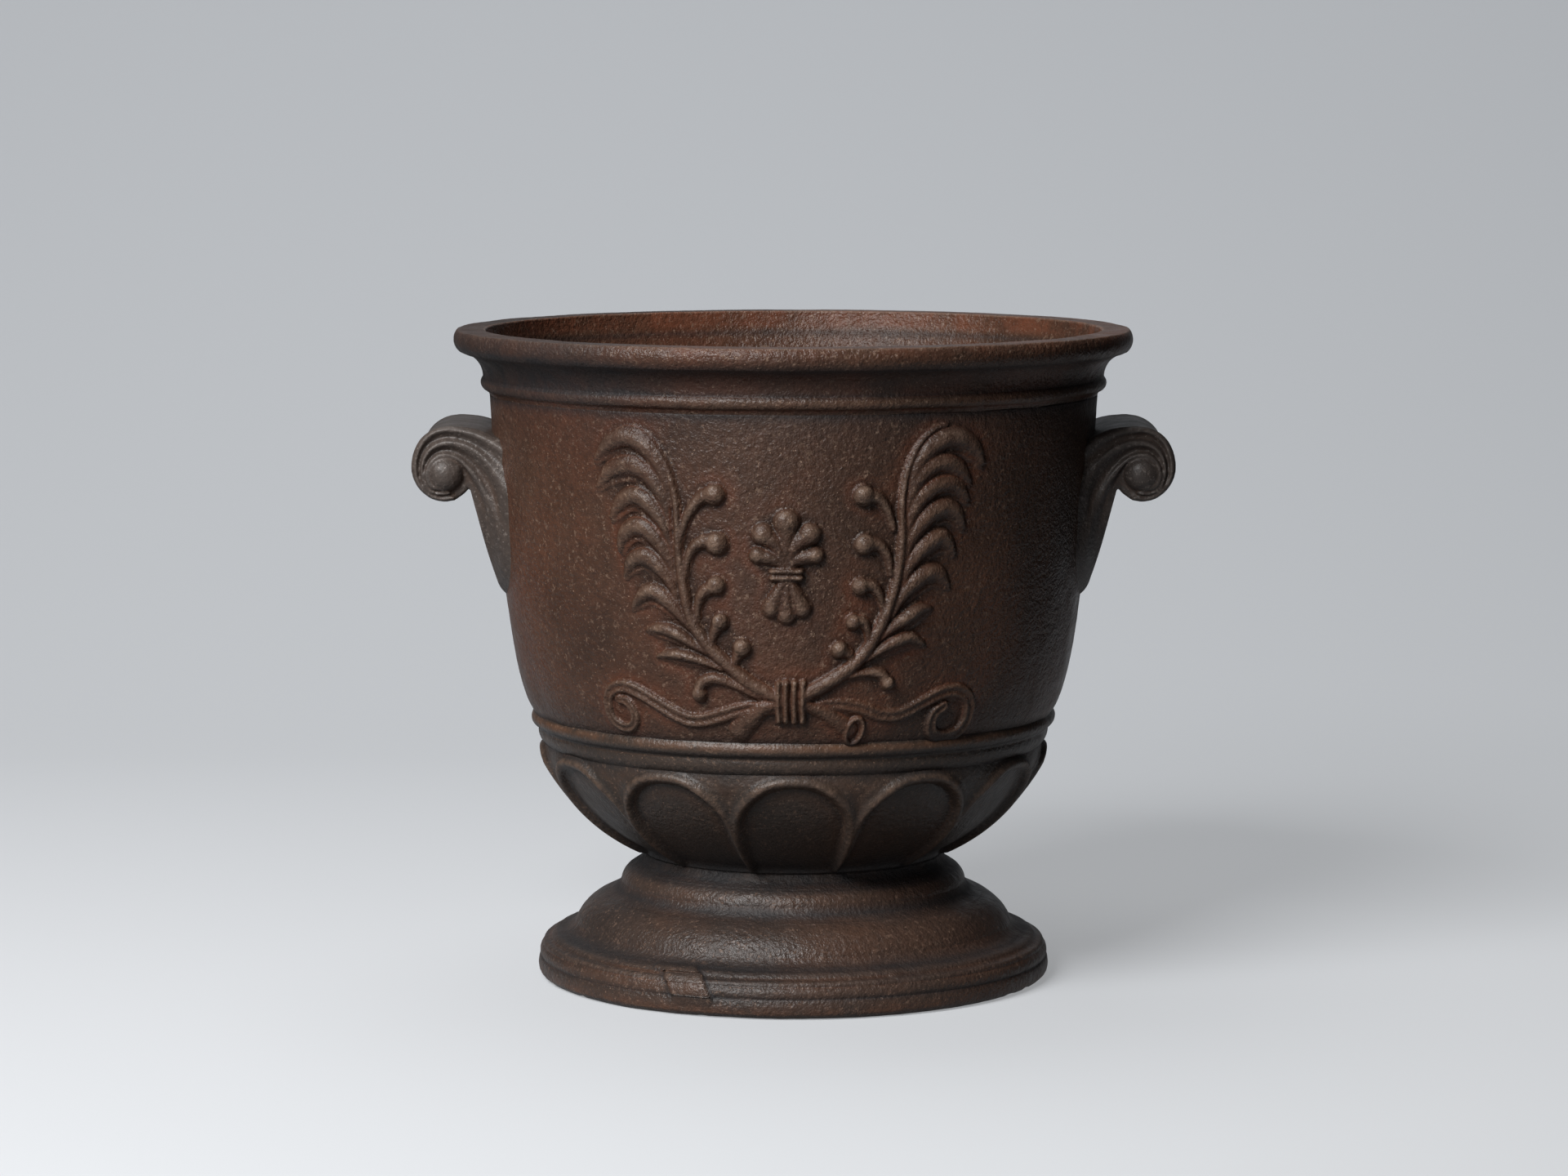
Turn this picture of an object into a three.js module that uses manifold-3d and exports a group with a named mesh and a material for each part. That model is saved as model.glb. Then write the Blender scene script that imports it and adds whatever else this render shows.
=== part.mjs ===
// Cast-iron urn planter: a two-handled bowl with a round lip, bolted to a hollow pedestal foot.
// Millimetres, +Z up. The origin is the middle of the circle that the foot stands on, the handles
// lie along X and the front of the bowl faces -Y.
import * as THREE from "three";
import { mergeVertices } from "three/addons/utils/BufferGeometryUtils.js";
import Module from "manifold-3d";

const wasm = await Module();
wasm.setup();

// ---------------------------------------------------------------- driving dimensions
const overallHeight = 420; // floor to the flat top of the rim

// Foot: a hollow pedestal casting
const footHeight = 80; // floor to the joint with the bowl
const baseRadius = 166; // outside of the plinth band
const baseEdgeRadius = 161.5; // where the plinth band meets the floor
const plinthBandHeight = 17;
const plinthRollHeight = 6; // the round moulding on top of the band
const plinthStepRadius = 151; // inner end of the fillet above the roll
const domeRadius = 149.5; // foot of the dome
const domeTopRadius = 119;
const domeTopLevel = 55;
const collarRadius = 115; // the round collar between dome and neck
const neckRadius = 97; // joint face of both castings
const footWall = 9;
const footPlateThickness = 10; // the plate that the tie bolt goes through

// Bowl: cup, belly bead, wall and rim
const cupStartRadius = 100.6;
const cupStartRise = 4; // above the joint
const cupTopRadius = 159;
const cupTopLevel = 141;
const cupBulge = 6.8; // how far the cup swells beyond a straight cone
const shelfBeadRadius = 165.2; // the small bead under the belly bead
const shelfBeadLevel = 159.5;
const bellyBeadRadius = 169.8;
const bellyBeadLevel = 168;
const bellyBeadHeight = 11;
const wallFootRadius = 168.5;
const wallSwellRadius = 186; // pulls the wall's curve outwards near its foot
const wallSwellRise = 24.5; // above the wall's foot
const wallTopRadius = 195.8;
const rimBeadRadius = 201.2;
const rimBeadHeight = 9;
const rimCoveRadius = 200.2; // the throat of the hollow under the lip
const lipRadius = 218.5;
const lipHeight = 13.5; // from the underside of the lip to its flat top
const rimDrop = 42; // rim mouldings, from the flat top down to the plain wall
const mouthRadius = 198.3; // inner edge of the flat top
const mouthFlareRise = 22; // from the wall's top to the middle of the flare inside the rim
const wallThickness = 8;
const floorThickness = 10;
const drainHoleDiameter = 14;
const drainCircleRadius = 48;
const drainHoleCount = 3;

// Gadroon arches round the cup
const archCount = 12;
const archRoll = 3; // radius of the raised roll
const archCrownRise = 3.5; // above the top of the cup
const archSpringDrop = 13; // below it, where two neighbours meet
const archRibRoll = 2.4;

// Scroll handles
const scrollEyeStandoff = 25.7; // axis of the scroll's eye from the top of the wall
const scrollEyeDrop = 48; // below the top of the wall
const scrollEyeRadius = 10.8;
const scrollEyeHalfLength = 58;
const scrollHalfWidth = 50; // flank of the handle at the scroll
const strapFootHalfWidth = 12; // where the strap runs out on the wall
const fluteDepth = 2.6;
const handleSeatGap = 0.3; // the cast handle's bed against the wall

// Tie bolt through the two castings
const tieBoltDiameter = 12;
const tieHoleDiameter = 14;
const tieHeadWidth = 19; // across flats, also the nut
const tieHeadHeight = 7.5;
const tieNutHeight = 10;
const tieWasherDiameter = 32;
const tieWasherThickness = 3;
const tieBoltEnd = 6; // thread left showing under the nut

// Handle screws, driven from inside the bowl into blind tapped holes
const screwDiameter = 8;
const screwHoleDiameter = 9;
const screwHeadWidth = 13;
const screwHeadHeight = 5.5;
const screwWasherDiameter = 18;
const screwWasherThickness = 2;
const screwPadDiameter = 26; // flat boss inside the wall
const screwPadProud = 3;
const upperScrewRise = 11; // above the eye
const upperScrewReach = 20; // length of thread inside the handle
const lowerScrewDrop = 30; // below the eye
const lowerScrewReach = 8;

const threadClearance = 0.3; // all round a thread in its tapped hole or nut
const washerClearance = 0.5; // all round a bolt or screw in its washer

// Facets
const bowlSegments = 48;
const footSegments = 48;
const handleStations = 16;
const archSteps = 8;
const ribSteps = 3;
const rollSides = 5;
const roundSides = 16; // bars, bores and washers

// ---------------------------------------------------------------- derived levels
const wallFootLevel = bellyBeadLevel + bellyBeadHeight / 2;
const wallTopLevel = overallHeight - rimDrop;
const rimBeadTopLevel = wallTopLevel + rimBeadHeight;
const lipUnderLevel = overallHeight - lipHeight;
const floorLevel = footHeight + floorThickness;
const footPlateLevel = footHeight - footPlateThickness;
const archCrownLevel = cupTopLevel + archCrownRise;
const archSpringLevel = cupTopLevel - archSpringDrop;
const scrollEyeLevel = wallTopLevel - scrollEyeDrop;
const scrollEyeReach = wallTopRadius + scrollEyeStandoff;

// ---------------------------------------------------------------- helpers
const point = (radius, level) => new THREE.Vector2(radius, level);

// Points of the arc from a to b, without a, that bulges to the right of the way from a to b.
function arc(a, b, bulge, steps) {
  const chord = b.clone().sub(a);
  const side = point(chord.y, -chord.x).normalize();
  const half = chord.length() / 2;
  const radius = (half * half + bulge * bulge) / (2 * Math.abs(bulge));
  const toMiddle = side.clone().multiplyScalar(Math.sign(bulge) * (Math.abs(bulge) - radius));
  const centre = a.clone().add(b).multiplyScalar(0.5).add(toMiddle);
  const start = a.clone().sub(centre);
  const turn = 2 * Math.asin(Math.min(1, half / radius)) * Math.sign(bulge);
  const points = [];
  for (let i = 1; i <= steps; i += 1) {
    points.push(start.clone().rotateAround(point(0, 0), (turn * i) / steps).add(centre));
  }
  return points;
}

function curve(a, control, b, steps) {
  return new THREE.QuadraticBezierCurve(a, control, b).getPoints(steps).slice(1);
}

// A closed ring profile of (radius, level) points, turned round the Z axis.
function revolve(profile, segments) {
  const ring = [...profile, profile[0]];
  return new THREE.LatheGeometry(ring, segments).rotateX(Math.PI / 2);
}

function solid(geometry) {
  const plain = geometry.clone();
  plain.deleteAttribute("normal");
  plain.deleteAttribute("uv");
  const merged = mergeVertices(plain, 1e-4);
  const mesh = new wasm.Mesh({
    numProp: 3,
    vertProperties: merged.attributes.position.array,
    triVerts: new Uint32Array(merged.index.array),
  });
  return new wasm.Manifold(mesh);
}

function geometryOf(manifold) {
  const mesh = manifold.getMesh();
  const geometry = new THREE.BufferGeometry();
  geometry.setAttribute("position", new THREE.BufferAttribute(mesh.vertProperties, 3));
  geometry.setIndex(new THREE.BufferAttribute(mesh.triVerts, 1));
  geometry.computeVertexNormals();
  return geometry;
}

const joined = (parts) => parts.reduce((whole, part) => whole.add(part));

// A round bar along Z between two levels, or a hexagonal one with 6 sides.
function bar(diameter, bottom, top, sides = roundSides) {
  const geometry = new THREE.CylinderGeometry(diameter / 2, diameter / 2, top - bottom, sides);
  return geometry.rotateX(Math.PI / 2).translate(0, 0, (top + bottom) / 2);
}

const hexBar = (acrossFlats, bottom, top) => bar(acrossFlats / Math.cos(Math.PI / 6), bottom, top, 6);

// A flat ring with a bore.
function washer(diameter, bore, bottom, top) {
  const shape = new THREE.Shape().absarc(0, 0, diameter / 2, 0, 2 * Math.PI);
  shape.holes.push(new THREE.Path().absarc(0, 0, bore / 2, 0, 2 * Math.PI));
  const options = { depth: top - bottom, bevelEnabled: false, curveSegments: roundSides / 2 };
  return new THREE.ExtrudeGeometry(shape, options).translate(0, 0, bottom);
}

// ---------------------------------------------------------------- foot
function footProfile() {
  const bandTop = point(baseRadius - 1.3, plinthBandHeight);
  const rollTop = point(baseRadius - 6.5, plinthBandHeight + plinthRollHeight);
  const step = point(plinthStepRadius, rollTop.y + 4.6);
  const domeFoot = point(domeRadius, rollTop.y + 5.4);
  const domeShoulder = point(domeRadius - 8.5, domeFoot.y + 6.6);
  const domeTop = point(domeTopRadius, domeTopLevel);
  const collarFoot = point(collarRadius, domeTopLevel + 1.5);
  const collarTop = point(neckRadius + 5, footHeight - 7);
  const neck = point(neckRadius, footHeight - 2);
  return [
    point(tieHoleDiameter / 2, footPlateLevel),
    point(neckRadius - footWall - 6, footPlateLevel),
    point(collarRadius - footWall, domeTopLevel - 6),
    point(domeRadius - footWall - 6, domeFoot.y),
    point(baseRadius - footWall - 5, plinthBandHeight - 2),
    point(baseRadius - footWall - 5, 0),
    point(baseEdgeRadius, 0),
    point(baseRadius - 1, 2),
    point(baseRadius, 6),
    bandTop,
    ...arc(bandTop, rollTop, 1.6, 3),
    ...arc(rollTop, step, -1, 2),
    domeFoot,
    ...arc(domeFoot, domeShoulder, -0.8, 2),
    ...arc(domeShoulder, domeTop, 2.4, 4),
    collarFoot,
    ...arc(collarFoot, collarTop, 3.4, 4),
    ...arc(collarTop, neck, -1.2, 2),
    point(neckRadius, footHeight),
    point(tieHoleDiameter / 2, footHeight),
  ];
}

// ---------------------------------------------------------------- bowl
const cupStart = point(cupStartRadius, footHeight + cupStartRise);
const cupTop = point(cupTopRadius, cupTopLevel);
const wallFoot = point(wallFootRadius, wallFootLevel);
const wallSwell = point(wallSwellRadius, wallFootLevel + wallSwellRise);
const wallTop = point(wallTopRadius, wallTopLevel);

const cupOutline = [cupStart, ...arc(cupStart, cupTop, cupBulge, 6)];
const wallOutline = [wallFoot, ...curve(wallFoot, wallSwell, wallTop, 6)];

// The radius of the cup's plain surface at a level.
function cupRadiusAt(level) {
  const index = cupOutline.findIndex((p) => p.y > level);
  const upper = cupOutline[index < 0 ? cupOutline.length - 1 : Math.max(index, 1)];
  const lower = cupOutline[cupOutline.indexOf(upper) - 1];
  const share = (level - lower.y) / (upper.y - lower.y);
  return lower.x + share * (upper.x - lower.x);
}

function bowlProfile() {
  const shelfFoot = point(cupTopRadius + 1.2, cupTopLevel + 10);
  const shelfBead = point(shelfBeadRadius, shelfBeadLevel);
  const bellyBottom = point(shelfBeadRadius + 0.3, bellyBeadLevel - bellyBeadHeight / 2);
  const bellyOut = point(bellyBeadRadius - 1.2, bellyBottom.y + 1.6);
  const bellyTop = point(bellyBeadRadius - 0.8, wallFootLevel - 1.2);
  const beadTop = point(rimCoveRadius, rimBeadTopLevel + 3.5);
  const lipUnder = point(lipRadius - 3.5, lipUnderLevel);
  const lipSide = point(lipRadius, lipUnderLevel + 5);
  const lipTop = point(lipRadius - 3, overallHeight);
  const inward = (p) => point(p.x - wallThickness, p.y);
  const innerWallTop = point(wallTopRadius - wallThickness, wallTopLevel);
  const mouthFlare = point(innerWallTop.x + 2, wallTopLevel + mouthFlareRise);
  const innerWallFoot = point(wallFootRadius - wallThickness, wallFootLevel);
  const innerWallSwell = inward(wallSwell);
  const innerCupTop = point(cupTopRadius - wallThickness, cupTopLevel);
  const floorEdge = point(cupStartRadius - wallThickness, floorLevel);
  return [
    point(tieHoleDiameter / 2, footHeight),
    point(neckRadius, footHeight),
    ...cupOutline,
    shelfFoot,
    ...arc(shelfFoot, shelfBead, 0.9, 2),
    bellyBottom,
    bellyOut,
    ...arc(bellyOut, bellyTop, 1.4, 2),
    ...wallOutline,
    ...arc(wallTop, beadTop, rimBeadRadius - rimCoveRadius + 2.4, 4),
    ...arc(beadTop, lipUnder, -3.2, 3),
    lipSide,
    ...arc(lipSide, lipTop, 1.4, 2),
    point(mouthRadius + 1.5, overallHeight),
    point(mouthRadius, overallHeight - 1.5),
    ...curve(point(mouthRadius, overallHeight - 1.5), mouthFlare, innerWallTop, 2),
    ...curve(innerWallTop, innerWallSwell, innerWallFoot, 4),
    innerCupTop,
    ...arc(innerCupTop, floorEdge, -cupBulge, 4),
    point(tieHoleDiameter / 2, floorLevel),
  ];
}

// One round roll along a path that lies on the cup.
function roll(radius, path, steps) {
  const section = new THREE.Shape();
  for (let i = 0; i < rollSides; i += 1) {
    const turn = (2 * Math.PI * i) / rollSides;
    const x = radius * Math.cos(turn);
    const y = radius * Math.sin(turn);
    if (i === 0) section.moveTo(x, y);
    else section.lineTo(x, y);
  }
  return new THREE.ExtrudeGeometry(section, { steps, extrudePath: path, curveSegments: 1 });
}

function onCup(angle, level) {
  const radius = cupRadiusAt(level);
  return new THREE.Vector3(radius * Math.sin(angle), -radius * Math.cos(angle), level);
}

// Arches spring from ribs that rise from the neck, one arch to each lobe of the cup.
function gadroons() {
  const pitch = (2 * Math.PI) / archCount;
  const ribFoot = cupStart.y + 2;
  const parts = [];
  for (let lobe = 0; lobe < archCount; lobe += 1) {
    const middle = lobe * pitch;
    const archPoints = [];
    for (let i = 0; i <= archSteps; i += 1) {
      const sweep = -Math.PI / 2 + (Math.PI * i) / archSteps;
      const level = archSpringLevel + (archCrownLevel - archSpringLevel) * Math.cos(sweep);
      archPoints.push(onCup(middle + (pitch / 2) * Math.sin(sweep), level));
    }
    parts.push(solid(roll(archRoll, new THREE.CatmullRomCurve3(archPoints), archSteps)));
    const ribPoints = [];
    for (let i = 0; i <= ribSteps; i += 1) {
      const level = ribFoot + ((archSpringLevel + 1 - ribFoot) * i) / ribSteps;
      ribPoints.push(onCup(middle + pitch / 2, level));
    }
    parts.push(solid(roll(archRibRoll, new THREE.CatmullRomCurve3(ribPoints), ribSteps)));
  }
  return joined(parts);
}

// ---------------------------------------------------------------- handles
// Each rail runs from the wall, over the top and round the eye of the scroll. Its points are
// (reach from the urn's axis, level). The last two numbers say how far the rail stands out
// sideways at the wall and at the eye, from the flank of the scroll.
const rails = [
  { name: "top edge", atWall: 4, atEye: -1.5, through: [
    [180, 350], [190, 354], [196, 356.8], [203, 359], [212, 360.3], [221.5, 360.3], [229, 358.3],
    [235.5, 354], [240, 348], [242.8, 340], [243.2, 331], [240.5, 323], [235.5, 317],
    [229, 313], [221.5, 311.8], [214, 313]] },
  { name: "first ridge", atWall: 13, atEye: 1.5, through: [
    [176, 337], [183, 345], [190, 349.5], [200, 354.5], [210, 357.3], [221.5, 358], [230, 355.3],
    [236.5, 348], [239.8, 338], [239.8, 329], [236.5, 321.5], [231, 316.3], [225, 314], [216, 315]] },
  { name: "first flute", atWall: 13.5, atEye: 1.5 - fluteDepth, through: [
    [173, 325], [181, 333], [187, 339], [195, 344.8], [205, 350.3], [215, 353], [221.5, 353.4],
    [230, 350.5], [235.7, 344], [238, 335], [237.4, 327], [234, 320], [228.5, 316.3], [221.5, 315.4],
    [217, 316.4]] },
  { name: "second ridge", atWall: 18, atEye: 3, through: [
    [174, 308], [181, 318], [186, 325], [191, 333], [200, 343.5], [210, 348.5], [220, 349.9],
    [229, 346.8], [234.4, 340.5], [236.4, 331.5], [234.8, 323.7], [231, 318.9], [225, 316.8],
    [218, 317.8]] },
  { name: "second flute", atWall: 14, atEye: 3 - fluteDepth, through: [
    [174, 288], [181, 297], [186, 305], [189.5, 316], [195, 326], [203, 336], [211, 342.3],
    [220, 345.5], [228, 343], [233, 337], [235, 329.5], [232.4, 322], [227.5, 318.6], [220, 318.4]] },
  { name: "third ridge", atWall: 8, atEye: 4, through: [
    [174, 268], [181, 278], [187, 290], [192, 308], [198.5, 322], [205.5, 332.5], [213, 339.5],
    [221, 342.7], [228.5, 339.9], [232.9, 333], [233.2, 327], [230, 321.6], [223, 319.8]] },
  { name: "eye groove", atWall: -6, atEye: 0.5, through: [
    [174, 250], [181, 261], [187, 271], [193, 294], [198.5, 313], [203, 322], [207, 330.5],
    [213, 336.8], [221.5, 339.5], [227, 337], [230.5, 331.5], [229.5, 326], [226, 323]] },
  { name: "strap edge", atWall: strapFootHalfWidth - scrollHalfWidth, atEye: 0, through: [
    [176, 241], [184, 249], [188.6, 255], [191.5, 264], [196, 280], [201, 300], [204.5, 314],
    [207.5, 325], [212, 332], [217, 335.5], [221.5, 336], [226, 333.5], [227, 329], [225, 326]] },
];

// The rails are drawn round an eye at this place, and the scroll moves with its eye.
const drawnEye = point(221.5, 330);

// A rail's stations along its length, on the front flank of the right handle.
function railPoints(rail) {
  const path = new THREE.CatmullRomCurve3(rail.through.map(([x, z]) => new THREE.Vector3(x, 0, z)));
  return path.getSpacedPoints(handleStations - 1).map((p, i) => {
    const share = i / (handleStations - 1);
    const nearWall = (1 - share) ** 3;
    const stand = rail.atWall * nearWall + rail.atEye * (1 - nearWall);
    const shift = point(scrollEyeReach, scrollEyeLevel).sub(drawnEye);
    return new THREE.Vector3(p.x + shift.x, -(scrollHalfWidth + stand), p.z + shift.y);
  });
}

// Front flank from the top edge to the strap edge, then the back flank, station by station.
function scrollBody() {
  const front = rails.map(railPoints);
  const stations = [];
  for (let s = 0; s < handleStations; s += 1) {
    const near = front.map((line) => line[s]);
    const far = near.map((p) => new THREE.Vector3(p.x, -p.y, p.z)).reverse();
    stations.push([...near, ...far]);
  }
  const size = stations[0].length;
  const positions = stations.flat();
  const faces = [];
  for (let s = 0; s + 1 < handleStations; s += 1) {
    for (let i = 0; i < size; i += 1) {
      const a = s * size + i;
      const b = s * size + ((i + 1) % size);
      faces.push(a, b, a + size, b, b + size, a + size);
    }
  }
  for (const [station, turned] of [[0, true], [handleStations - 1, false]]) {
    const middle = new THREE.Vector3();
    stations[station].forEach((p) => middle.add(p));
    positions.push(middle.divideScalar(size));
    for (let i = 0; i < size; i += 1) {
      const a = station * size + i;
      const b = station * size + ((i + 1) % size);
      faces.push(...(turned ? [b, a, positions.length - 1] : [a, b, positions.length - 1]));
    }
  }
  const geometry = new THREE.BufferGeometry().setFromPoints(positions);
  geometry.setIndex(faces);
  return geometry;
}

// The eye: a drum across the scroll with a domed boss at each end.
function scrollEye() {
  const flat = scrollHalfWidth - 1;
  const outline = [point(0, -scrollEyeHalfLength)];
  const rise = scrollEyeHalfLength - flat;
  for (let i = 1; i <= 4; i += 1) {
    const turn = (Math.PI / 2) * (i / 4);
    outline.push(point(scrollEyeRadius * Math.sin(turn), -flat - rise * Math.cos(turn)));
  }
  outline.push(...outline.map((p) => point(p.x, -p.y)).reverse());
  const drum = new THREE.LatheGeometry(outline, 20);
  return drum.translate(scrollEyeReach, 0, scrollEyeLevel);
}

// The wall's outside, grown by a gap: what the back of a handle is shaped to.
function handleBed() {
  const grown = wallOutline.map((p) => point(p.x + handleSeatGap, p.y));
  const outline = [point(0, wallFootLevel), ...grown, point(0, wallTopLevel)];
  return new THREE.LatheGeometry(outline, bowlSegments).rotateX(Math.PI / 2);
}

// Screws lie along X. Their level and the length of thread in the handle differ.
const screws = [
  { place: "upper", level: scrollEyeLevel + upperScrewRise, reach: upperScrewReach },
  { place: "lower", level: scrollEyeLevel - lowerScrewDrop, reach: lowerScrewReach },
];

// A bar along +X between two reaches at a level.
function crossBar(diameter, from, to, level, sides = roundSides) {
  const along = bar(diameter, from, to, sides).rotateY(Math.PI / 2);
  return along.translate(0, 0, level);
}

function wallRadiusAt(level) {
  const index = Math.max(1, wallOutline.findIndex((p) => p.y > level));
  const [lower, upper] = [wallOutline[index - 1], wallOutline[index]];
  return lower.x + ((level - lower.y) / (upper.y - lower.y)) * (upper.x - lower.x);
}

// The flat face inside the wall that a screw's washer sits on.
const padFace = (level) => wallRadiusAt(level) - wallThickness - screwPadProud;

function handleGeometry() {
  let body = solid(scrollBody()).add(solid(scrollEye())).subtract(solid(handleBed()));
  for (const { level, reach } of screws) {
    const wall = wallRadiusAt(level);
    const tapped = screwDiameter + 2 * threadClearance;
    const bore = crossBar(tapped, wall - wallThickness, wall + reach + 1, level);
    body = body.subtract(solid(bore));
  }
  return geometryOf(body);
}

// ---------------------------------------------------------------- bowl with its holes and pads
function bowlGeometry() {
  let body = solid(revolve(bowlProfile(), bowlSegments)).add(gadroons());
  for (const side of [0, Math.PI]) {
    for (const { level } of screws) {
      const wall = wallRadiusAt(level);
      const pad = crossBar(screwPadDiameter, padFace(level), wall - wallThickness / 2, level);
      const hole = crossBar(screwHoleDiameter, padFace(level) - 1, wall + 1, level);
      body = body.add(solid(pad.rotateZ(side))).subtract(solid(hole.rotateZ(side)));
    }
  }
  for (let i = 0; i < drainHoleCount; i += 1) {
    const drain = bar(drainHoleDiameter, footHeight - 1, floorLevel + 1);
    const turn = (2 * Math.PI * (i + 0.5)) / drainHoleCount;
    drain.translate(drainCircleRadius * Math.sin(turn), -drainCircleRadius * Math.cos(turn), 0);
    body = body.subtract(solid(drain));
  }
  return geometryOf(body);
}

function footGeometry() {
  let body = solid(revolve(footProfile(), footSegments));
  for (let i = 0; i < drainHoleCount; i += 1) {
    const drain = bar(drainHoleDiameter, footPlateLevel - 1, footHeight + 1);
    const turn = (2 * Math.PI * (i + 0.5)) / drainHoleCount;
    drain.translate(drainCircleRadius * Math.sin(turn), -drainCircleRadius * Math.cos(turn), 0);
    body = body.subtract(solid(drain));
  }
  return geometryOf(body);
}

// ---------------------------------------------------------------- fasteners
function tieBoltGeometry() {
  const headBottom = floorLevel + tieWasherThickness;
  const end = footPlateLevel - tieWasherThickness - tieNutHeight - tieBoltEnd;
  const head = solid(hexBar(tieHeadWidth, headBottom, headBottom + tieHeadHeight));
  return geometryOf(head.add(solid(bar(tieBoltDiameter, end, headBottom + 1))));
}

function tieWasher(bottom) {
  const bore = tieBoltDiameter + 2 * washerClearance;
  return washer(tieWasherDiameter, bore, bottom, bottom + tieWasherThickness);
}

function tieNutGeometry() {
  const top = footPlateLevel - tieWasherThickness;
  const bore = bar(tieBoltDiameter + 2 * threadClearance, top - tieNutHeight - 1, top + 1);
  return geometryOf(solid(hexBar(tieHeadWidth, top - tieNutHeight, top)).subtract(solid(bore)));
}

// A screw with its head on the washer, made along Z from the pad's face and laid along +X.
function screwGeometry({ level, reach }) {
  const face = padFace(level) - screwWasherThickness;
  const tip = wallRadiusAt(level) + reach;
  const head = solid(hexBar(screwHeadWidth, face - screwHeadHeight, face));
  const shank = solid(bar(screwDiameter, face - 1, tip, roundSides));
  return geometryOf(head.add(shank)).rotateY(Math.PI / 2).translate(0, 0, level);
}

function screwWasherGeometry({ level }) {
  const face = padFace(level);
  const bore = screwDiameter + 2 * washerClearance;
  const ring = washer(screwWasherDiameter, bore, face - screwWasherThickness, face);
  return ring.rotateY(Math.PI / 2).translate(0, 0, level);
}

// ---------------------------------------------------------------- materials and scene graph
const castIron = { roughness: 0.62, metalness: 0.35 };
const materials = {
  bowl: new THREE.MeshStandardMaterial({ color: 0x4a352b, ...castIron }),
  foot: new THREE.MeshStandardMaterial({ color: 0x40312b, ...castIron }),
  handle: new THREE.MeshStandardMaterial({ color: 0x4b4541, ...castIron }),
  fixing: new THREE.MeshStandardMaterial({ color: 0x6b6763, roughness: 0.5, metalness: 0.8 }),
};

function part(name, geometry, material) {
  const mesh = new THREE.Mesh(geometry, material);
  mesh.name = name;
  return mesh;
}

const urn = new THREE.Group();
urn.add(part("bowl", bowlGeometry(), materials.bowl));
urn.add(part("foot", footGeometry(), materials.foot));
urn.add(part("tie_bolt", tieBoltGeometry(), materials.fixing));
urn.add(part("tie_nut", tieNutGeometry(), materials.fixing));
urn.add(part("tie_washer_bowl", tieWasher(floorLevel), materials.fixing));
urn.add(part("tie_washer_foot", tieWasher(footPlateLevel - tieWasherThickness), materials.fixing));

const handleShape = handleGeometry();
for (const [side, turn] of [["right", 0], ["left", Math.PI]]) {
  const group = new THREE.Group();
  group.rotation.z = turn;
  group.add(part("handle_" + side, handleShape, materials.handle));
  for (const screw of screws) {
    const name = "_" + side + "_" + screw.place;
    group.add(part("handle_screw" + name, screwGeometry(screw), materials.fixing));
    group.add(part("handle_washer" + name, screwWasherGeometry(screw), materials.fixing));
  }
  urn.add(group);
}

export default urn;
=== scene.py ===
# %% [markdown]
# # A cast-iron urn planter
#
# The urn stands 420 mm tall and is made of four iron castings: the bowl, the foot under it, and two
# scroll handles. Hidden steel screws hold them together. This notebook builds what the eye sees: the
# mouldings, the sprays of leaves and the ribbon on the wall, the twelve arches round the cup, the
# fluted scrolls, and the brown skin that old iron gets outdoors.
#
# Sizes are in millimetres and are turned into metres when a mesh is made. The urn stands on the
# floor at z = 0, the handles lie along X, and the front of the bowl faces -Y.

# %% Setup
import math

import bpy
import numpy as np
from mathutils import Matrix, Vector


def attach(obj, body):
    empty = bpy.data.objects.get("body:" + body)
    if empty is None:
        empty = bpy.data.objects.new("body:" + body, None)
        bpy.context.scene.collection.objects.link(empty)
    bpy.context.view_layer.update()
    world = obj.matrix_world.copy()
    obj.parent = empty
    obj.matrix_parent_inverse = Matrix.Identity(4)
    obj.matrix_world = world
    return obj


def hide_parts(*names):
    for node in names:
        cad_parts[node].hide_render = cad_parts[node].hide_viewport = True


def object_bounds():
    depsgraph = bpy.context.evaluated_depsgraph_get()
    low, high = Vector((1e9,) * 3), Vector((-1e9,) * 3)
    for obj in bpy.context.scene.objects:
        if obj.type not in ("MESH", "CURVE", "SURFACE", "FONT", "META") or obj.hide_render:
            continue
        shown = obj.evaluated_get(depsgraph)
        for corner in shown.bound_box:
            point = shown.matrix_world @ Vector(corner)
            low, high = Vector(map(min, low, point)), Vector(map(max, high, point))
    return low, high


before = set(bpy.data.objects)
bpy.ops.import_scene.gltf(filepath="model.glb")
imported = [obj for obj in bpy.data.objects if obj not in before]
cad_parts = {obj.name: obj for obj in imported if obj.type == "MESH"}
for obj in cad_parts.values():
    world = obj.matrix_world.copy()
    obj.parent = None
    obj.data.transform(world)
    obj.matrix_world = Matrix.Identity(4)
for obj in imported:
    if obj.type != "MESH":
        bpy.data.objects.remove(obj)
frame_low, frame_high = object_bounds()
MM = 0.001
print("frame", [round(v, 4) for v in (*frame_low, *frame_high)])

# %% [markdown]
# ## Camera and light
#
# The photograph was taken from the front, a little above the rim, with a long lens. The two
# ellipses of the rim and the foot fix where the camera stood, so its place is worked out from them
# and not turned by hand until it looks right.
#
# The light is a large soft box high on the left in front of the urn. One lamp of that size gives
# the long soft glints of the photograph, where several small ones would each leave a hard spot. A
# weak panel above, a weak glow from the floor and the room fill the shadows.

# %% Camera
LENS = 109.31
CAMERA_PLACE = (-0.00608, -3.06648, 0.59926)
CAMERA_PITCH = 0.11302746

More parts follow.
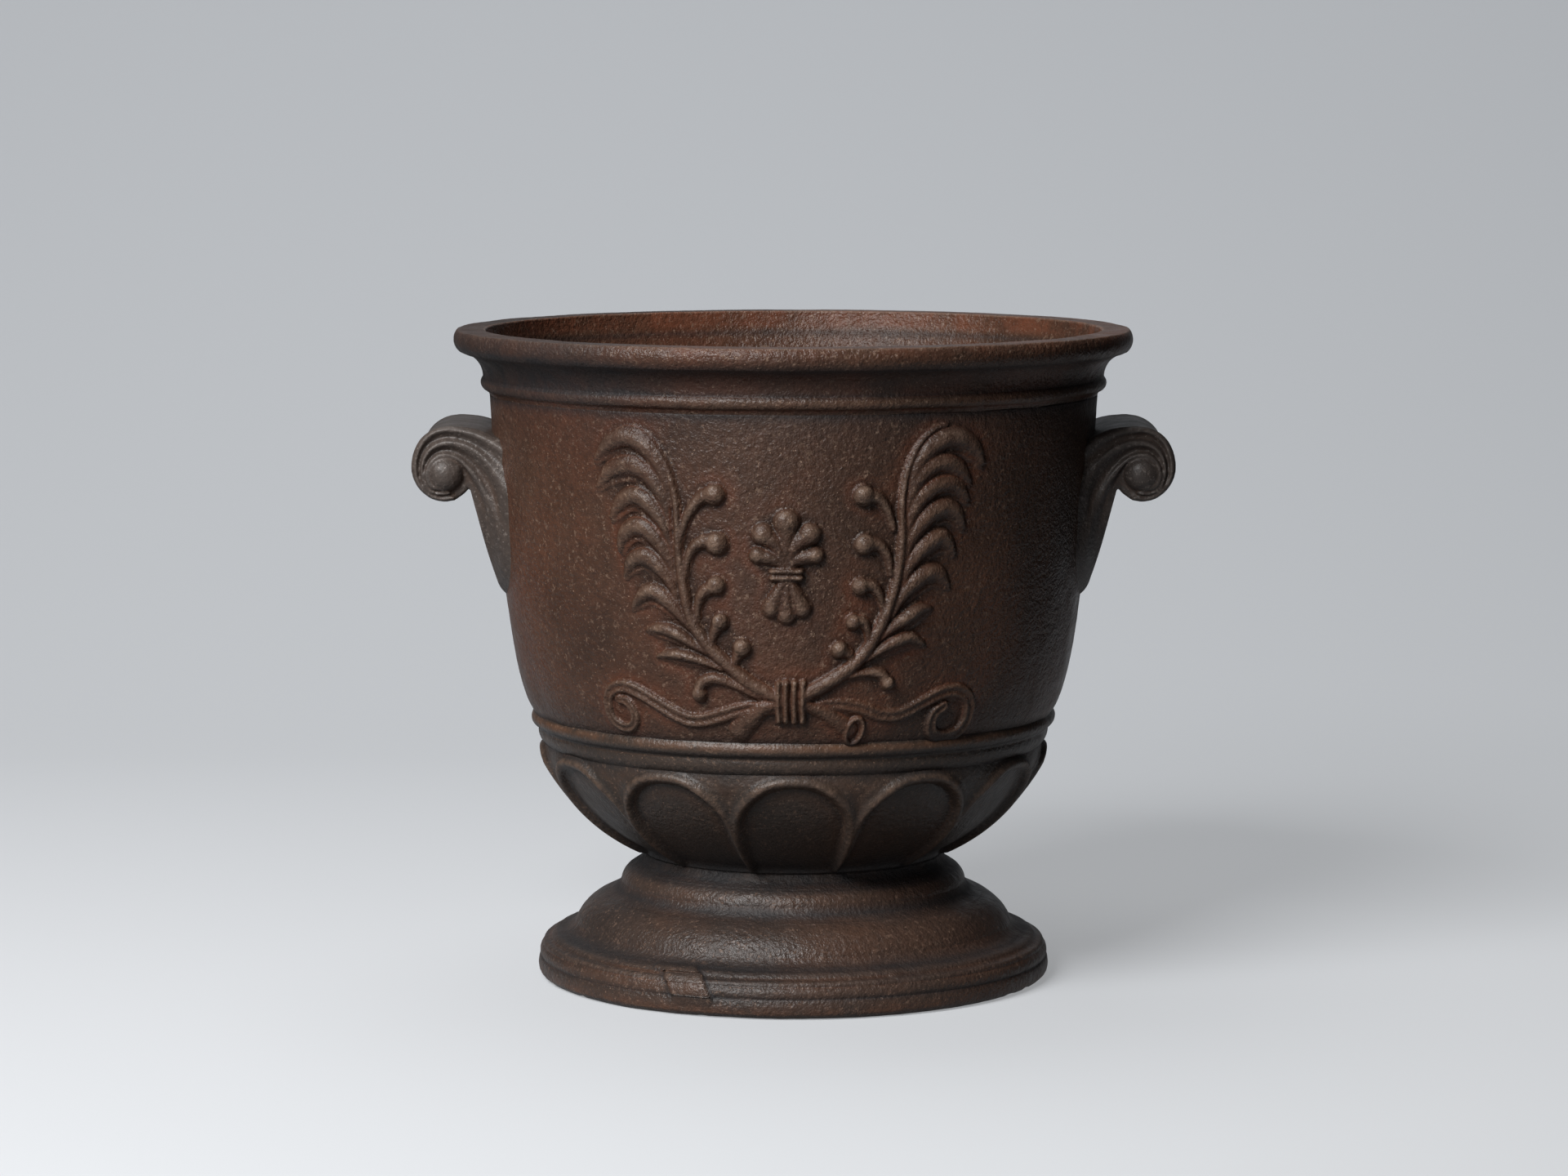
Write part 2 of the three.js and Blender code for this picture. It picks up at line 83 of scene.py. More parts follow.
camera_data = bpy.data.cameras.new("camera")
camera_data.lens = LENS
camera_data.sensor_width = 36.0
camera = bpy.data.objects.new("camera", camera_data)
camera.location = CAMERA_PLACE
camera.rotation_euler = (math.pi / 2 - CAMERA_PITCH, 0.0, 0.0)
bpy.context.scene.collection.objects.link(camera)
bpy.context.scene.camera = camera
bpy.context.scene.view_settings.view_transform = "Standard"
print("camera at", CAMERA_PLACE)

# %% Lamps
URN_MIDDLE = (0.0, 0.0, 0.22)
# For each lamp: its place and its size in metres, and its power in watts.
LAMPS = {
    "key_soft_box": ((-1.17, -1.74, 1.8), (1.35, 1.15), 92.0),
    "top_panel": ((-0.3, 0.5, 2.2), (1.6, 1.2), 14.0),
    "floor_glow": ((-0.45, -1.5, 0.06), (1.0, 0.5), 4.0),
}


def area_lamp(name, place, size, power):
    """A soft lamp that points at the middle of the urn."""
    data = bpy.data.lights.new(name, "AREA")
    data.shape = "RECTANGLE"
    data.size, data.size_y = size
    data.energy = power
    lamp = bpy.data.objects.new(name, data)
    lamp.location = place
    aim = Vector(URN_MIDDLE) - Vector(place)
    lamp.rotation_euler = aim.to_track_quat("-Z", "Y").to_euler()
    bpy.context.scene.collection.objects.link(lamp)


for lamp_name, settings in LAMPS.items():
    area_lamp(lamp_name, *settings)
print("lamps", list(LAMPS))

# %% Room
ROOM_COLOUR, ROOM_STRENGTH = (0.62, 0.65, 0.70, 1.0), 0.06
world = bpy.data.worlds.new("room")
bpy.context.scene.world = world
world.use_nodes = True
room = world.node_tree.nodes["Background"]
room.inputs["Color"].default_value = ROOM_COLOUR
room.inputs["Strength"].default_value = ROOM_STRENGTH
print("room light", ROOM_STRENGTH)

# %% [markdown]
# ## Tools for meshes
#
# Nearly every piece of the urn is a grid of points: rows that go up and columns that go round. The
# points are worked out with numpy, because a formula can move all of them at once, and Blender gets
# them as a finished mesh. Each point also carries one or two painted numbers, which tell the
# material how far the spot stands out and how much painted shade, black patina or open rust it gets.


# %% Meshes and paths
def mesh_object(name, vertices, faces):
    mesh = bpy.data.meshes.new(name)
    mesh.from_pydata([tuple(v) for v in vertices], [], faces)
    mesh.update()
    mesh.shade_smooth()
    made = bpy.data.objects.new(name, mesh)
    bpy.context.scene.collection.objects.link(made)
    return made


def curve_between(a, b, c, d, t):
    """The stretch from b to c of a Catmull-Rom curve through four points, at the shares t."""
    return 0.5 * (2 * b + (c - a) * t + (2 * a - 5 * b + 4 * c - d) * t**2
                  + (3 * b - a - 3 * c + d) * t**3)


def smooth_path(points, spacing=1.6):
    """A smooth curve through the points, cut into even steps."""
    p = np.array(points, float)
    ends = np.vstack([2 * p[0] - p[1], p, 2 * p[-1] - p[-2]])
    t = np.linspace(0, 1, 12, endpoint=False)[:, None]
    curve = np.vstack([*(curve_between(*ends[i : i + 4], t) for i in range(len(ends) - 3)), p[-1:]])
    along = np.concatenate([[0], np.cumsum(np.linalg.norm(np.diff(curve, axis=0), axis=1))])
    even = np.linspace(0, along[-1], max(3, int(along[-1] / spacing) + 1))
    return np.stack([np.interp(even, along, curve[:, k]) for k in range(p.shape[1])], axis=1)


def grid_faces(rows, columns, first=0, closed=False, flip=False):
    """Quads of a grid whose vertices lie row by row from the index first."""
    r, c = np.meshgrid(np.arange(rows - 1), np.arange(columns if closed else columns - 1), indexing="ij")
    a = first + r * columns + c
    b = first + r * columns + (c + 1) % columns
    quads = np.stack([a, b, b + columns, a + columns], axis=-1).reshape(-1, 4)
    return (quads[:, ::-1] if flip else quads).tolist()


def shell(name, outer, inner, every=8, with_sides=True):
    """A wall from two grids of points, with rows going up and columns to the right seen from outside.

    The outer skin has every point, the inner one only each so many-th row and column. Strips join
    the skins below and above, and at both sides too where no neighbour closes them."""
    rows, columns = outer.shape[:2]
    row_marks = sorted({*range(0, rows - 1, every), rows - 1})
    column_marks = sorted({*range(0, columns - 1, every), columns - 1})
    inside = inner[np.ix_(row_marks, column_marks)]
    first, wide = rows * columns, len(column_marks)
    faces = grid_faces(rows, columns) + grid_faces(len(row_marks), wide, first, flip=True)
    for edge, inner_row, top in ((0, 0, False), (rows - 1, len(row_marks) - 1, True)):
        for k in range(wide - 1):
            near = first + inner_row * wide + k
            loop = [edge * columns + c for c in range(column_marks[k], column_marks[k + 1] + 1)]
            loop += [near + 1, near]
            faces.append(loop if top else loop[::-1])
    sides = ((0, 0, False), (columns - 1, wide - 1, True)) if with_sides else ()
    for edge, inner_column, right in sides:
        for k in range(len(row_marks) - 1):
            near = first + k * wide + inner_column
            loop = [r * columns + edge for r in range(row_marks[k], row_marks[k + 1] + 1)]
            loop += [near + wide, near]
            faces.append(loop[::-1] if right else loop)
    return mesh_object(name, np.vstack([outer.reshape(-1, 3), inside.reshape(-1, 3)]), faces)


def round_grid(radius, level, angle):
    """Points in metres from radii and levels (mm) and angles from the front, counted towards +X."""
    return np.stack([radius * np.sin(angle), -radius * np.cos(angle), level + 0 * radius], axis=-1) * MM


# %% Painted numbers and unevenness
def paint_values(piece, name, values):
    """One number for each vertex, that the material can read."""
    layer = piece.data.attributes.new(name, "FLOAT", "POINT")
    padded = np.zeros(len(piece.data.vertices))
    padded[: len(values)] = values
    layer.data.foreach_set("value", padded)


def value_at(table, level):
    """Reads a table of (level, value) at the levels."""
    return np.interp(level, *zip(*table))


def ripple(x, y, z, wave, seed):
    """A slow unevenness between -1 and 1, as sand moulds leave it, from a few crossed waves."""
    rng = np.random.default_rng(seed)
    total = 0.0
    for _ in range(7):
        way = rng.normal(size=3)
        way *= rng.uniform(0.7, 1.4) * 2 * np.pi / wave / np.linalg.norm(way)
        total = total + np.sin(way[0] * x + way[1] * y + way[2] * z + rng.uniform(0, 2 * np.pi))
    return total / 4.5


print("tools for meshes ready")

# %% [markdown]
# ## Old iron
#
# Outdoors, cast iron grows a brown skin. It is darkest in the hollows, here painted shade, redder where water
# ran, and paler on every edge that stands out, partly worn metal and partly a painted highlight. The sand of
# the mould leaves a fine grain all over, which catches the light as a soft, broken sheen, and its bright
# specks are partly painted glints.
#
# A picture of rust could be laid over the castings, but it would stretch on the round parts and
# know nothing of their edges. Here each layer is noise in the piece's own coordinates, and the two
# painted numbers decide where it shows: "standing" is how far a spot stands out in mm, and the number
# of shade and weather runs from 1 for painted shade with black patina to -1 for open rust. The layers follow
# the order in which they grew.


# %% Tools for shaders
def shader(name):
    material = bpy.data.materials.new(name)
    material.use_nodes = True
    tree = material.node_tree
    for node in list(tree.nodes):
        tree.nodes.remove(node)
    return material, tree


def feed(tree, socket, value):
    """Links a socket to another one, or sets it to a plain value."""
    if isinstance(value, bpy.types.NodeSocket):
        tree.links.new(value, socket)
    else:
        socket.default_value = value


def add_node(tree, kind, settings=None, **values):
    """A node with its settings, and its inputs by name (an underscore stands for a space)."""
    node = tree.nodes.new(kind)
    for key, value in (settings or {}).items():
        setattr(node, key, value)
    for key, value in values.items():
        feed(tree, node.inputs[key.replace("_", " ")], value)
    return node


def blend(tree, share, a, b):
    """From colour a to colour b by the share."""
    node = add_node(tree, "ShaderNodeMix", {"data_type": "RGBA"})
    for socket, value in ((node.inputs["Factor"], share), (node.inputs[6], a), (node.inputs[7], b)):
        feed(tree, socket, (*value, 1.0) if isinstance(value, tuple) else value)
    return node.outputs[2]


def ranged(tree, value, low, high, to_low=0.0, to_high=1.0):
    """Maps values from low to high onto the range from to_low to to_high, and clamps them."""
    node = tree.nodes.new("ShaderNodeMapRange")
    labels = ("Value", "From Min", "From Max", "To Min", "To Max")
    for label, number in zip(labels, (value, low, high, to_low, to_high)):
        feed(tree, node.inputs[label], number)
    return node.outputs[0]


def calculate(tree, how, a, b):
    node = add_node(tree, "ShaderNodeMath", {"operation": how})
    for socket, value in zip(node.inputs, (a, b)):
        feed(tree, socket, value)
    return node.outputs[0]


def noise_in(tree):
    """A maker of noise that stays where it is on the piece."""
    place = tree.nodes.new("ShaderNodeTexCoord").outputs["Object"]

    def noise(waves, detail, rough=0.55):
        return add_node(tree, "ShaderNodeTexNoise", Vector=place, Scale=waves, Detail=detail,
                        Roughness=rough).outputs["Fac"]

    return noise


def shaded(colour, share):
    return tuple(share * c for c in colour)


print("tools for shaders ready")


# %% Brown skin, rust and wear
def brown_skin(tree, noise, standing, base, dark, rust, rust_amount):
    """Patches of two browns, redder where water ran, with dust in the hollows and painted shade darkening
    them.
    """
    colour = blend(tree, ranged(tree, noise(9.0, 5.0, 0.6), 0.38, 0.62), dark, base)
    red = calculate(tree, "MULTIPLY", ranged(tree, noise(5.0, 4.0, 0.65), 0.5, 0.68), rust_amount)
    colour = blend(tree, red, colour, rust)
    mottle = ranged(tree, noise(230.0, 3.0, 0.7), 0.35, 0.65, 0.0, 0.45)
    colour = blend(tree, mottle, colour, shaded(dark, 0.55))
    dusty = calculate(tree, "MULTIPLY", ranged(tree, standing, 0.0, -0.7),
                      ranged(tree, noise(24.0, 3.0), 0.4, 0.6, 0.0, 0.4))
    colour = blend(tree, dusty, colour, rust)
    # Painted shade: the lower a spot lies below its surroundings, the darker it is painted.
    hollow = ranged(tree, standing, -0.6, -1.9, 0.0, 0.8)
    return blend(tree, hollow, colour, shaded(dark, 0.4))


def worn_skin(tree, noise, standing, shade_and_weather, colour, rust, worn):
    """Open rust, paler metal on what stands out, partly worn and partly a painted highlight, and bright
    crumbs and specks of the grain, partly painted glints.
    """
    open_rust = calculate(tree, "MULTIPLY", ranged(tree, shade_and_weather, 0.0, -1.0),
                          ranged(tree, noise(38.0, 5.0, 0.7), 0.36, 0.62))
    colour = blend(tree, open_rust, colour, shaded(rust, 1.35))
    # Paler on raised spots: partly worn metal, partly a painted highlight.
    rubbed_and_highlight = calculate(tree, "MULTIPLY", ranged(tree, standing, 0.3, 2.6, 0.0, 0.75),
                       ranged(tree, noise(160.0, 4.0, 0.7), 0.4, 0.62, 0.25, 1.0))
    colour = blend(tree, rubbed_and_highlight, colour, worn)
    # Bright crumbs and specks of the grain, partly painted glints.
    crumbs_and_glints = ranged(tree, noise(300.0, 3.0, 0.7), 0.58, 0.68, 0.0, 0.55)
    colour = blend(tree, crumbs_and_glints, colour, shaded(worn, 1.15))
    specks_and_glints = ranged(tree, noise(620.0, 2.0, 0.6), 0.66, 0.73, 0.0, 0.8)
    return blend(tree, specks_and_glints, colour, shaded(worn, 1.5))


# Near black: painted shade with black patina, where the number of shade and weather is above 0.
SOOT_AND_SHADE = (0.017, 0.016, 0.017)
# Layers of grain: how many waves to a metre, and how high in mm.
GRAIN = [(140.0, 0.45), (400.0, 0.55), (850.0, 0.22)]
GRAIN_DEPTH = 1.0 * MM
print("grain of", len(GRAIN), "layers")


# %% Material of the castings
def cast_iron(name, base, dark, rust, worn, grain=1.0, rust_amount=0.5, roughness=0.37, sheen=0.32):
    """Old iron: its two browns, the colour of its rust, and that of its rubbed metal, which also paints its
    highlights and glints.
    """
    material, tree = shader(name)
    noise = noise_in(tree)
    standing = add_node(tree, "ShaderNodeAttribute", {"attribute_name": "standing"}).outputs["Fac"]
    shade_and_weather = add_node(tree, "ShaderNodeAttribute", {"attribute_name": "shade_and_weather"}).outputs["Fac"]
    colour = brown_skin(tree, noise, standing, base, dark, rust, rust_amount)
    colour = worn_skin(tree, noise, standing, shade_and_weather, colour, rust, worn)
    # Painted shade with black patina: near black where the number of shade and weather is above 0, and
    # rougher there.
    soot_and_shade = calculate(tree, "MULTIPLY", ranged(tree, shade_and_weather, 0.0, 1.0, 0.0, 0.95),
                     ranged(tree, noise(55.0, 4.0, 0.6), 0.25, 0.6, 0.7, 1.0))
    colour = blend(tree, soot_and_shade, colour, SOOT_AND_SHADE)
    gloss = ranged(tree, noise(60.0, 4.0, 0.6), 0.3, 0.7, roughness - 0.07, roughness + 0.09)
    gloss = calculate(tree, "ADD", gloss, calculate(tree, "MULTIPLY", soot_and_shade, 0.25))
    height = 0.0
    for waves, share in GRAIN:
        height = calculate(tree, "ADD", height, calculate(tree, "MULTIPLY", noise(waves, 2.0, 0.5), share))
    bump = add_node(tree, "ShaderNodeBump", Strength=grain, Distance=GRAIN_DEPTH, Height=height)
    surface = add_node(tree, "ShaderNodeBsdfPrincipled", Base_Color=colour, Roughness=gloss,
                       Specular_IOR_Level=sheen, Normal=bump.outputs[0])
    add_node(tree, "ShaderNodeOutputMaterial", Surface=surface.outputs[0])
    return material


bowl_iron = cast_iron("bowl_iron", (0.088, 0.043, 0.027), (0.046, 0.025, 0.017), (0.130, 0.042, 0.021),
                      (0.17, 0.112, 0.080), grain=1.7, rust_amount=0.45, roughness=0.33, sheen=0.24)
cup_iron = cast_iron("cup_iron", (0.060, 0.040, 0.030), (0.036, 0.027, 0.022), (0.085, 0.042, 0.024),
                     (0.15, 0.095, 0.066), rust_amount=0.3)
foot_iron = cast_iron("foot_iron", (0.068, 0.042, 0.031), (0.041, 0.029, 0.024), (0.105, 0.046, 0.025),
                      (0.16, 0.10, 0.072), grain=1.5, rust_amount=0.4)
handle_iron = cast_iron("handle_iron", (0.070, 0.054, 0.046), (0.045, 0.036, 0.032), (0.085, 0.050, 0.034),
                        (0.165, 0.138, 0.122), grain=0.8, rust_amount=0.2, roughness=0.42)
fixing_steel = cast_iron("fixing_steel", (0.14, 0.10, 0.075), (0.08, 0.055, 0.04), (0.14, 0.06, 0.03),
                         (0.3, 0.26, 0.23), grain=0.3, rust_amount=0.8)
irons = (bowl_iron, cup_iron, foot_iron, handle_iron, fixing_steel)
print("materials", [iron.name for iron in irons])

# %% [markdown]
# ## The wall and its relief
#
# The wall is a round casting that swells out quickly above the belly bead and then rises almost
# straight. The pattern maker modelled two leafy sprays on it, tied at the foot with a cord, and a
# ribbon that rolls up at both ends. Each leaf is a thick comma: a round crest along its upper side,
# a thin hollowed lip below it, and a tip that bends down.
#
# The relief is worked out as heights over the flattened wall. Each form is one stroke of a
# modelling tool: a path, its half widths, its height, and a lip on one side. That follows the way
# such relief is made, keeps every leaf easy to change, and lets neighbours flow together where
# their heights meet.

# %% Shape of the wall
WALL_FOOT, WALL_SWELL, WALL_TOP = (168.5, 174.0), (186.0, 198.0), (195.8, 378.0)
WALL_THICKNESS = 8.0
FLAT_RADIUS = 190.0  # the flattened wall is measured along a circle of this radius


def wall_radius(level):
    """Radius of the plain wall at a level: a curve from its foot to its top, pulled out low down."""
    (r0, z0), (r1, z1), (r2, z2) = WALL_FOOT, WALL_SWELL, WALL_TOP
    a, b, c = z0 - 2 * z1 + z2, 2 * (z1 - z0), z0 - level
    t = (-b + np.sqrt(np.maximum(b * b - 4 * a * c, 0.0))) / (2 * a)
    return (1 - t) ** 2 * r0 + 2 * t * (1 - t) * r1 + t * t * r2


print("wall radius at 200, 290, 370:", [round(float(wall_radius(v)), 1) for v in (200, 290, 370)])


# %% A carving tool
def blur(field, cells):
    """Three running means along both ways: close to a soft round brush."""
    for _ in range(3):
        for axis in (0, 1):
            pad = [(cells, cells) if k == axis else (0, 0) for k in (0, 1)]
            total = np.cumsum(np.pad(field, pad, mode="edge"), axis=axis)
            total = np.concatenate([np.zeros_like(np.take(total, [0], axis)), total], axis=axis)
            span = 2 * cells + 1
            high = np.take(total, np.arange(span, total.shape[axis]), axis)
            low = np.take(total, np.arange(total.shape[axis] - span), axis)
            field = (high - low) / span
    return field


def spread(values, share):
    """Values along a path, read at shares of its way."""
    return np.interp(share, np.linspace(0, 1, len(values)), values)


class Carving:
    """Heights in mm over a grid of places u along the surface and levels z."""

    def __init__(self, u, z):
        self.u, self.z = u, z
        self.height = np.zeros((len(z), len(u)))

    def window(self, path, reach):
        (u0, z0), (u1, z1) = path.min(axis=0) - reach, path.max(axis=0) + reach
        columns = np.flatnonzero((self.u >= u0) & (self.u <= u1))
        rows = np.flatnonzero((self.z >= z0) & (self.z <= z1))
        return np.ix_(rows, columns), np.stack(np.meshgrid(self.u[columns], self.z[rows]), axis=-1)

    def nearest(self, place, path, half):
        """Share along the path, distance in half widths, and side (+1 is left of the way)."""
        start, step = path[:-1], np.diff(path, axis=0)
        away = place[..., None, :] - start
        share = np.clip((away * step).sum(-1) / (step**2).sum(-1), 0.0, 1.0)
        off = away - share[..., None] * step
        side = np.sign(step[:, 0] * away[..., 1] - step[:, 1] * away[..., 0])
        width = half[:-1] + share * np.diff(half)
        ratio = np.sqrt((off**2).sum(-1)) / width
        best = ratio.argmin(axis=-1)[..., None]
        share, ratio, side = (np.take_along_axis(a, best, axis=-1)[..., 0] for a in (share, ratio, side))
        return (best[..., 0] + share) / len(start), ratio, side

    def follow(self, path, half, height, widest=1.0):
        """What a path covers: the window, and in it share, distance, side and height of the form."""
        path = smooth_path(path)
        half = spread(half, np.linspace(0, 1, len(path)))
        window, place = self.window(path, half.max() * widest + 1)
        share, ratio, side = self.nearest(place, path, half)
        return window, share, ratio, side, spread(height, share)

    def merge(self, window, form, soft):
        """Keeps the higher of two forms and rounds the valley where they meet."""
        old = self.height[window]
        both = np.minimum(np.maximum(old, 0), np.maximum(form, 0))
        gap = np.abs(old - form)
        fillet = np.where(both > 0, np.maximum(soft - gap, 0) ** 2 / (4 * soft), 0)
        self.height[window] = np.maximum(old, form) + fillet

    def stroke(self, path, half, height, lip=0.0, lip_side=1, lip_reach=1.9, round_off=0.7, soft=0.5):
        """One rounded ridge. lip is the height of a thin hollowed lip on the side lip_side."""
        window, share, ratio, side, tall = self.follow(path, half, height, lip_reach if lip else 1.0)
        form = tall * np.maximum(1 - ratio**2, 0) ** round_off
        if lip:
            low = np.where(side == lip_side, ratio / lip_reach, ratio)
            grown = np.clip(share * 4 - 0.4, 0, 1)
            hollow = lip * grown * (1 - 0.45 * np.sin(np.pi * np.clip(low, 0, 1)))
            form = np.maximum(form, np.where(low < 1, hollow * np.minimum(1, 6 * (1 - low)), 0))
        self.merge(window, form, soft)

    def band(self, path, half, height, groove=0.5, soft=0.3):
        """A ribbon: two ridges with a hollow between them."""
        window, _, ratio, _, tall = self.follow(path, half, height)
        across = np.maximum(1 - ratio**4, 0) ** 0.8 * (1 - groove * np.exp(-((ratio / 0.42) ** 2)))
        self.merge(window, tall * across, soft)

    def ball(self, centre, radius, height, flat=0.55):
        """A round bud."""
        window, place = self.window(np.array([centre, centre], float), radius + 1)
        away = np.sqrt(((place - np.array(centre)) ** 2).sum(-1)) / radius
        self.merge(window, height * np.maximum(1 - away**2, 0) ** flat, 0.8)


print("carving tool ready")

# %% Sprays of leaves
# Paths on the flattened wall: (place along the wall from the middle of the front, level), in mm.
LEFT_STEM = [(-10, 203), (-20, 208), (-30, 214), (-42, 224), (-52, 233), (-60, 243), (-66, 256),
             (-69, 272), (-71, 290), (-71.5, 306), (-72, 322), (-75, 338), (-80, 351), (-88, 362),
             (-97, 368), (-106, 369)]
# Each leaf: its path from the stem to the tip, and its half width.
LEFT_LEAVES = [
    ([(-76, 322), (-80, 340), (-87, 353), (-95, 360), (-104, 363), (-114, 360), (-122, 354),
      (-127, 349)], 5.0),
    ([(-76, 308), (-80, 324), (-86, 336), (-93, 343), (-102, 346), (-112, 344), (-120, 339),
      (-126, 332)], 5.2),
    ([(-75, 291), (-79, 306), (-85, 317), (-92, 324), (-100, 327), (-108, 324), (-114, 318),
      (-117, 313)], 4.8),
    ([(-74, 276), (-79, 290), (-86, 301), (-93, 307), (-100, 308), (-107, 304), (-111, 298),
      (-112, 293)], 4.8),
    ([(-73, 262), (-78, 275), (-85, 284), (-92, 289), (-99, 289), (-105, 285), (-109, 278)], 4.5),
    ([(-64, 244), (-71, 253), (-78, 261), (-86, 267), (-93, 268), (-99, 264), (-105, 258)], 4.2),
    ([(-54, 230), (-64, 236), (-74, 242), (-84, 245), (-95, 244)], 3.2),
    ([(-46, 221), (-56, 225), (-68, 228.5), (-80, 229.5), (-89, 228)], 2.8),
]
RIGHT_STEM = [(6, 205), (18, 211), (31, 219), (42, 228), (50, 239), (56, 251), (60.5, 263), (64, 277),
              (66, 293), (66.3, 308), (66, 324), (68, 340), (72, 352), (78, 362), (86, 368.5), (94, 371)]
RIGHT_LEAVES = [
    ([(70, 326), (74, 343), (81, 354), (90, 361), (100, 363), (110, 359), (117, 353), (120, 347)], 5.0),
    ([(69, 316), (73, 331), (79, 341), (87, 347), (96, 347), (104, 343), (111, 336)], 4.9),
    ([(69, 301), (72, 315), (78, 326), (86, 333), (95, 335), (103, 332), (110, 325)], 4.9),
    ([(68, 286), (72, 300), (79, 311), (87, 318), (95, 320), (103, 316), (108, 308)], 4.8),
    ([(67, 270), (71, 283), (78, 293), (85, 299), (92, 302), (98, 298), (102, 292)], 4.6),
    ([(62, 254), (68, 266), (76, 275), (84, 280), (92, 279), (99, 272)], 4.6),
    ([(54, 239), (63, 247), (72, 253), (80, 257.5), (87, 258)], 3.6),
    ([(45, 226), (55, 233), (65, 238), (74, 240), (84, 236)], 3.4),
]
# Buds: the stalk's path up to the middle of the bud, and the bud's radius.
BUDS = [
    ([(-70, 300), (-67, 312), (-62, 321), (-55, 328), (-48, 329.5)], 6.3),
    ([(-68, 276), (-66, 288), (-62, 296), (-55, 300.5), (-47, 299.5)], 6.8),
    ([(-61, 250), (-60, 261), (-56, 269), (-48, 273.5)], 5.6),
    ([(-52, 234), (-51, 242), (-46, 251)], 5.0),
    ([(-39, 221), (-36, 229), (-32.5, 235)], 5.5),
    ([(-22, 204), (-35, 210), (-45, 214), (-54, 215), (-61, 211), (-62, 205)], 4.6),
    ([(61, 308), (57, 319), (51, 327), (42, 329)], 6.2),
    ([(60, 280), (58, 290), (52, 298), (43, 299)], 6.2),
    ([(56, 260), (53, 268), (48, 273), (41, 273)], 5.2),
    ([(47, 239), (46, 246), (43, 251), (37, 251)], 4.6),
    ([(36, 223), (36, 230), (28.5, 234)], 5.0),
    ([(36, 217), (47, 219), (56, 218), (61, 212)], 4.2),
]
print(len(LEFT_LEAVES) + len(RIGHT_LEAVES), "leaves,", len(BUDS), "buds")

# %% Ribbon, cord and palmette
LEFT_RIBBON = [(-14, 197), (-25, 197), (-37, 195), (-50, 191), (-62, 188), (-72, 188), (-82, 191.5),
               (-92, 196.5), (-102, 201.5), (-112, 205.5), (-120, 206.5), (-128, 204), (-133, 198),
               (-134, 189), (-131, 182.5), (-124, 179.5), (-117, 181), (-113, 186), (-113.5, 192),
               (-118, 197), (-124, 198)]
RIGHT_RIBBON = [(14, 198), (30, 199), (46, 196), (58, 191.5), (70, 191), (80, 194.5), (90, 199), (100, 203),
                (110, 204.5), (119, 202), (125, 196), (126, 187), (123, 179), (116, 174.5), (107, 174),
                (99, 177.5), (96, 184), (98, 191), (104, 195)]
LEFT_TAIL = [(-8, 200), (-20, 197), (-29, 190), (-36, 183)]
RIGHT_TAIL = [(8, 199), (20, 194), (30, 188), (37, 183)]
LOOP_MIDDLE, LOOP_HALF_WIDTH, LOOP_HALF_HEIGHT = (41, 181.5), 5.2, 8.2
CORD = [(-9.8, 2.5), (-5.0, 2.8), (0.4, 2.9), (5.8, 2.8)]  # rolls side by side: place and half width
PLUME_FOOT, PLUME_BAND = (-4.5, 285.0), 283.0
PLUMES = [(-66, 19, 5.6), (66, 19, 5.6), (-34, 25, 7.2), (34, 25, 7.2), (0, 28, 8.4)]  # lean, length, width
STEMS = [(-24, 23), (24, 23), (0, 25)]  # lean and length
print("ribbon of", len(LEFT_RIBBON), "points on the left,", len(PLUMES), "plumes")


# %% Carving the sprays
def carve_spray(art, leaves, stem, lip_side):
    """Leaves from the lowest up, so that each lies over the next, and the stem over them all."""
    for path, half in reversed(leaves):
        widths = [share * half for share in (0.4, 0.8, 1.15, 1.4, 1.45, 1.2, 0.55)]
        art.stroke(path, widths, [2.6, 3.6, 4.8, 5.6, 5.4, 4.2, 2.2], lip=1.8, lip_side=lip_side,
                   lip_reach=1.6)
    art.stroke(stem, [5.4, 5.0, 4.6, 4.0, 3.4, 2.8, 2.2, 1.6], [5.0, 4.8, 4.6, 4.6, 4.4, 3.8, 3.2, 2.2])


def carve_buds(art):
    for path, radius in BUDS:
        art.stroke(path, [2.4, 3.1, 4.0, 0.95 * radius], [3.2, 3.6, 4.4, 5.2])
        art.ball(path[-1], 1.12 * radius, 6.8)


# %% Carving ribbon, knot and palmette
def carve_ribbon(art):
    art.band(LEFT_RIBBON, [4.6, 4.8, 4.8, 4.6, 3.6, 3.0], [3.0, 3.6, 3.6, 3.4], groove=0.5)
    art.band(RIGHT_RIBBON, [3.8, 4.4, 4.4, 5.0, 5.2, 3.8], [2.0, 2.6, 3.2, 3.8, 3.6], groove=0.45)


def carve_knot(art):
    """The two tails, the small loop below them, and the cord wound round both stems."""
    art.stroke(LEFT_TAIL, [4.5, 5.5, 7.0, 8.0], [4.8, 4.6, 4.2, 3.4])
    art.stroke(RIGHT_TAIL, [4.0, 4.6, 5.6, 6.4], [3.8, 3.2, 2.8, 2.2])
    u, z = LOOP_MIDDLE
    oval = [(u + LOOP_HALF_WIDTH * math.cos(a) + 2.6 * math.sin(a),
             z + LOOP_HALF_HEIGHT * math.sin(a) - 1.8 * math.cos(a)) for a in np.linspace(0, 2 * np.pi, 13)]
    art.stroke(oval, [1.9, 1.9], [3.2, 3.2])
    for place, half in CORD:
        art.stroke([(place, 189), (place - 0.4, 201), (place, 213)], [half * 0.9, half, half * 0.9],
                   [5.2, 6.2, 5.4], soft=0.2)


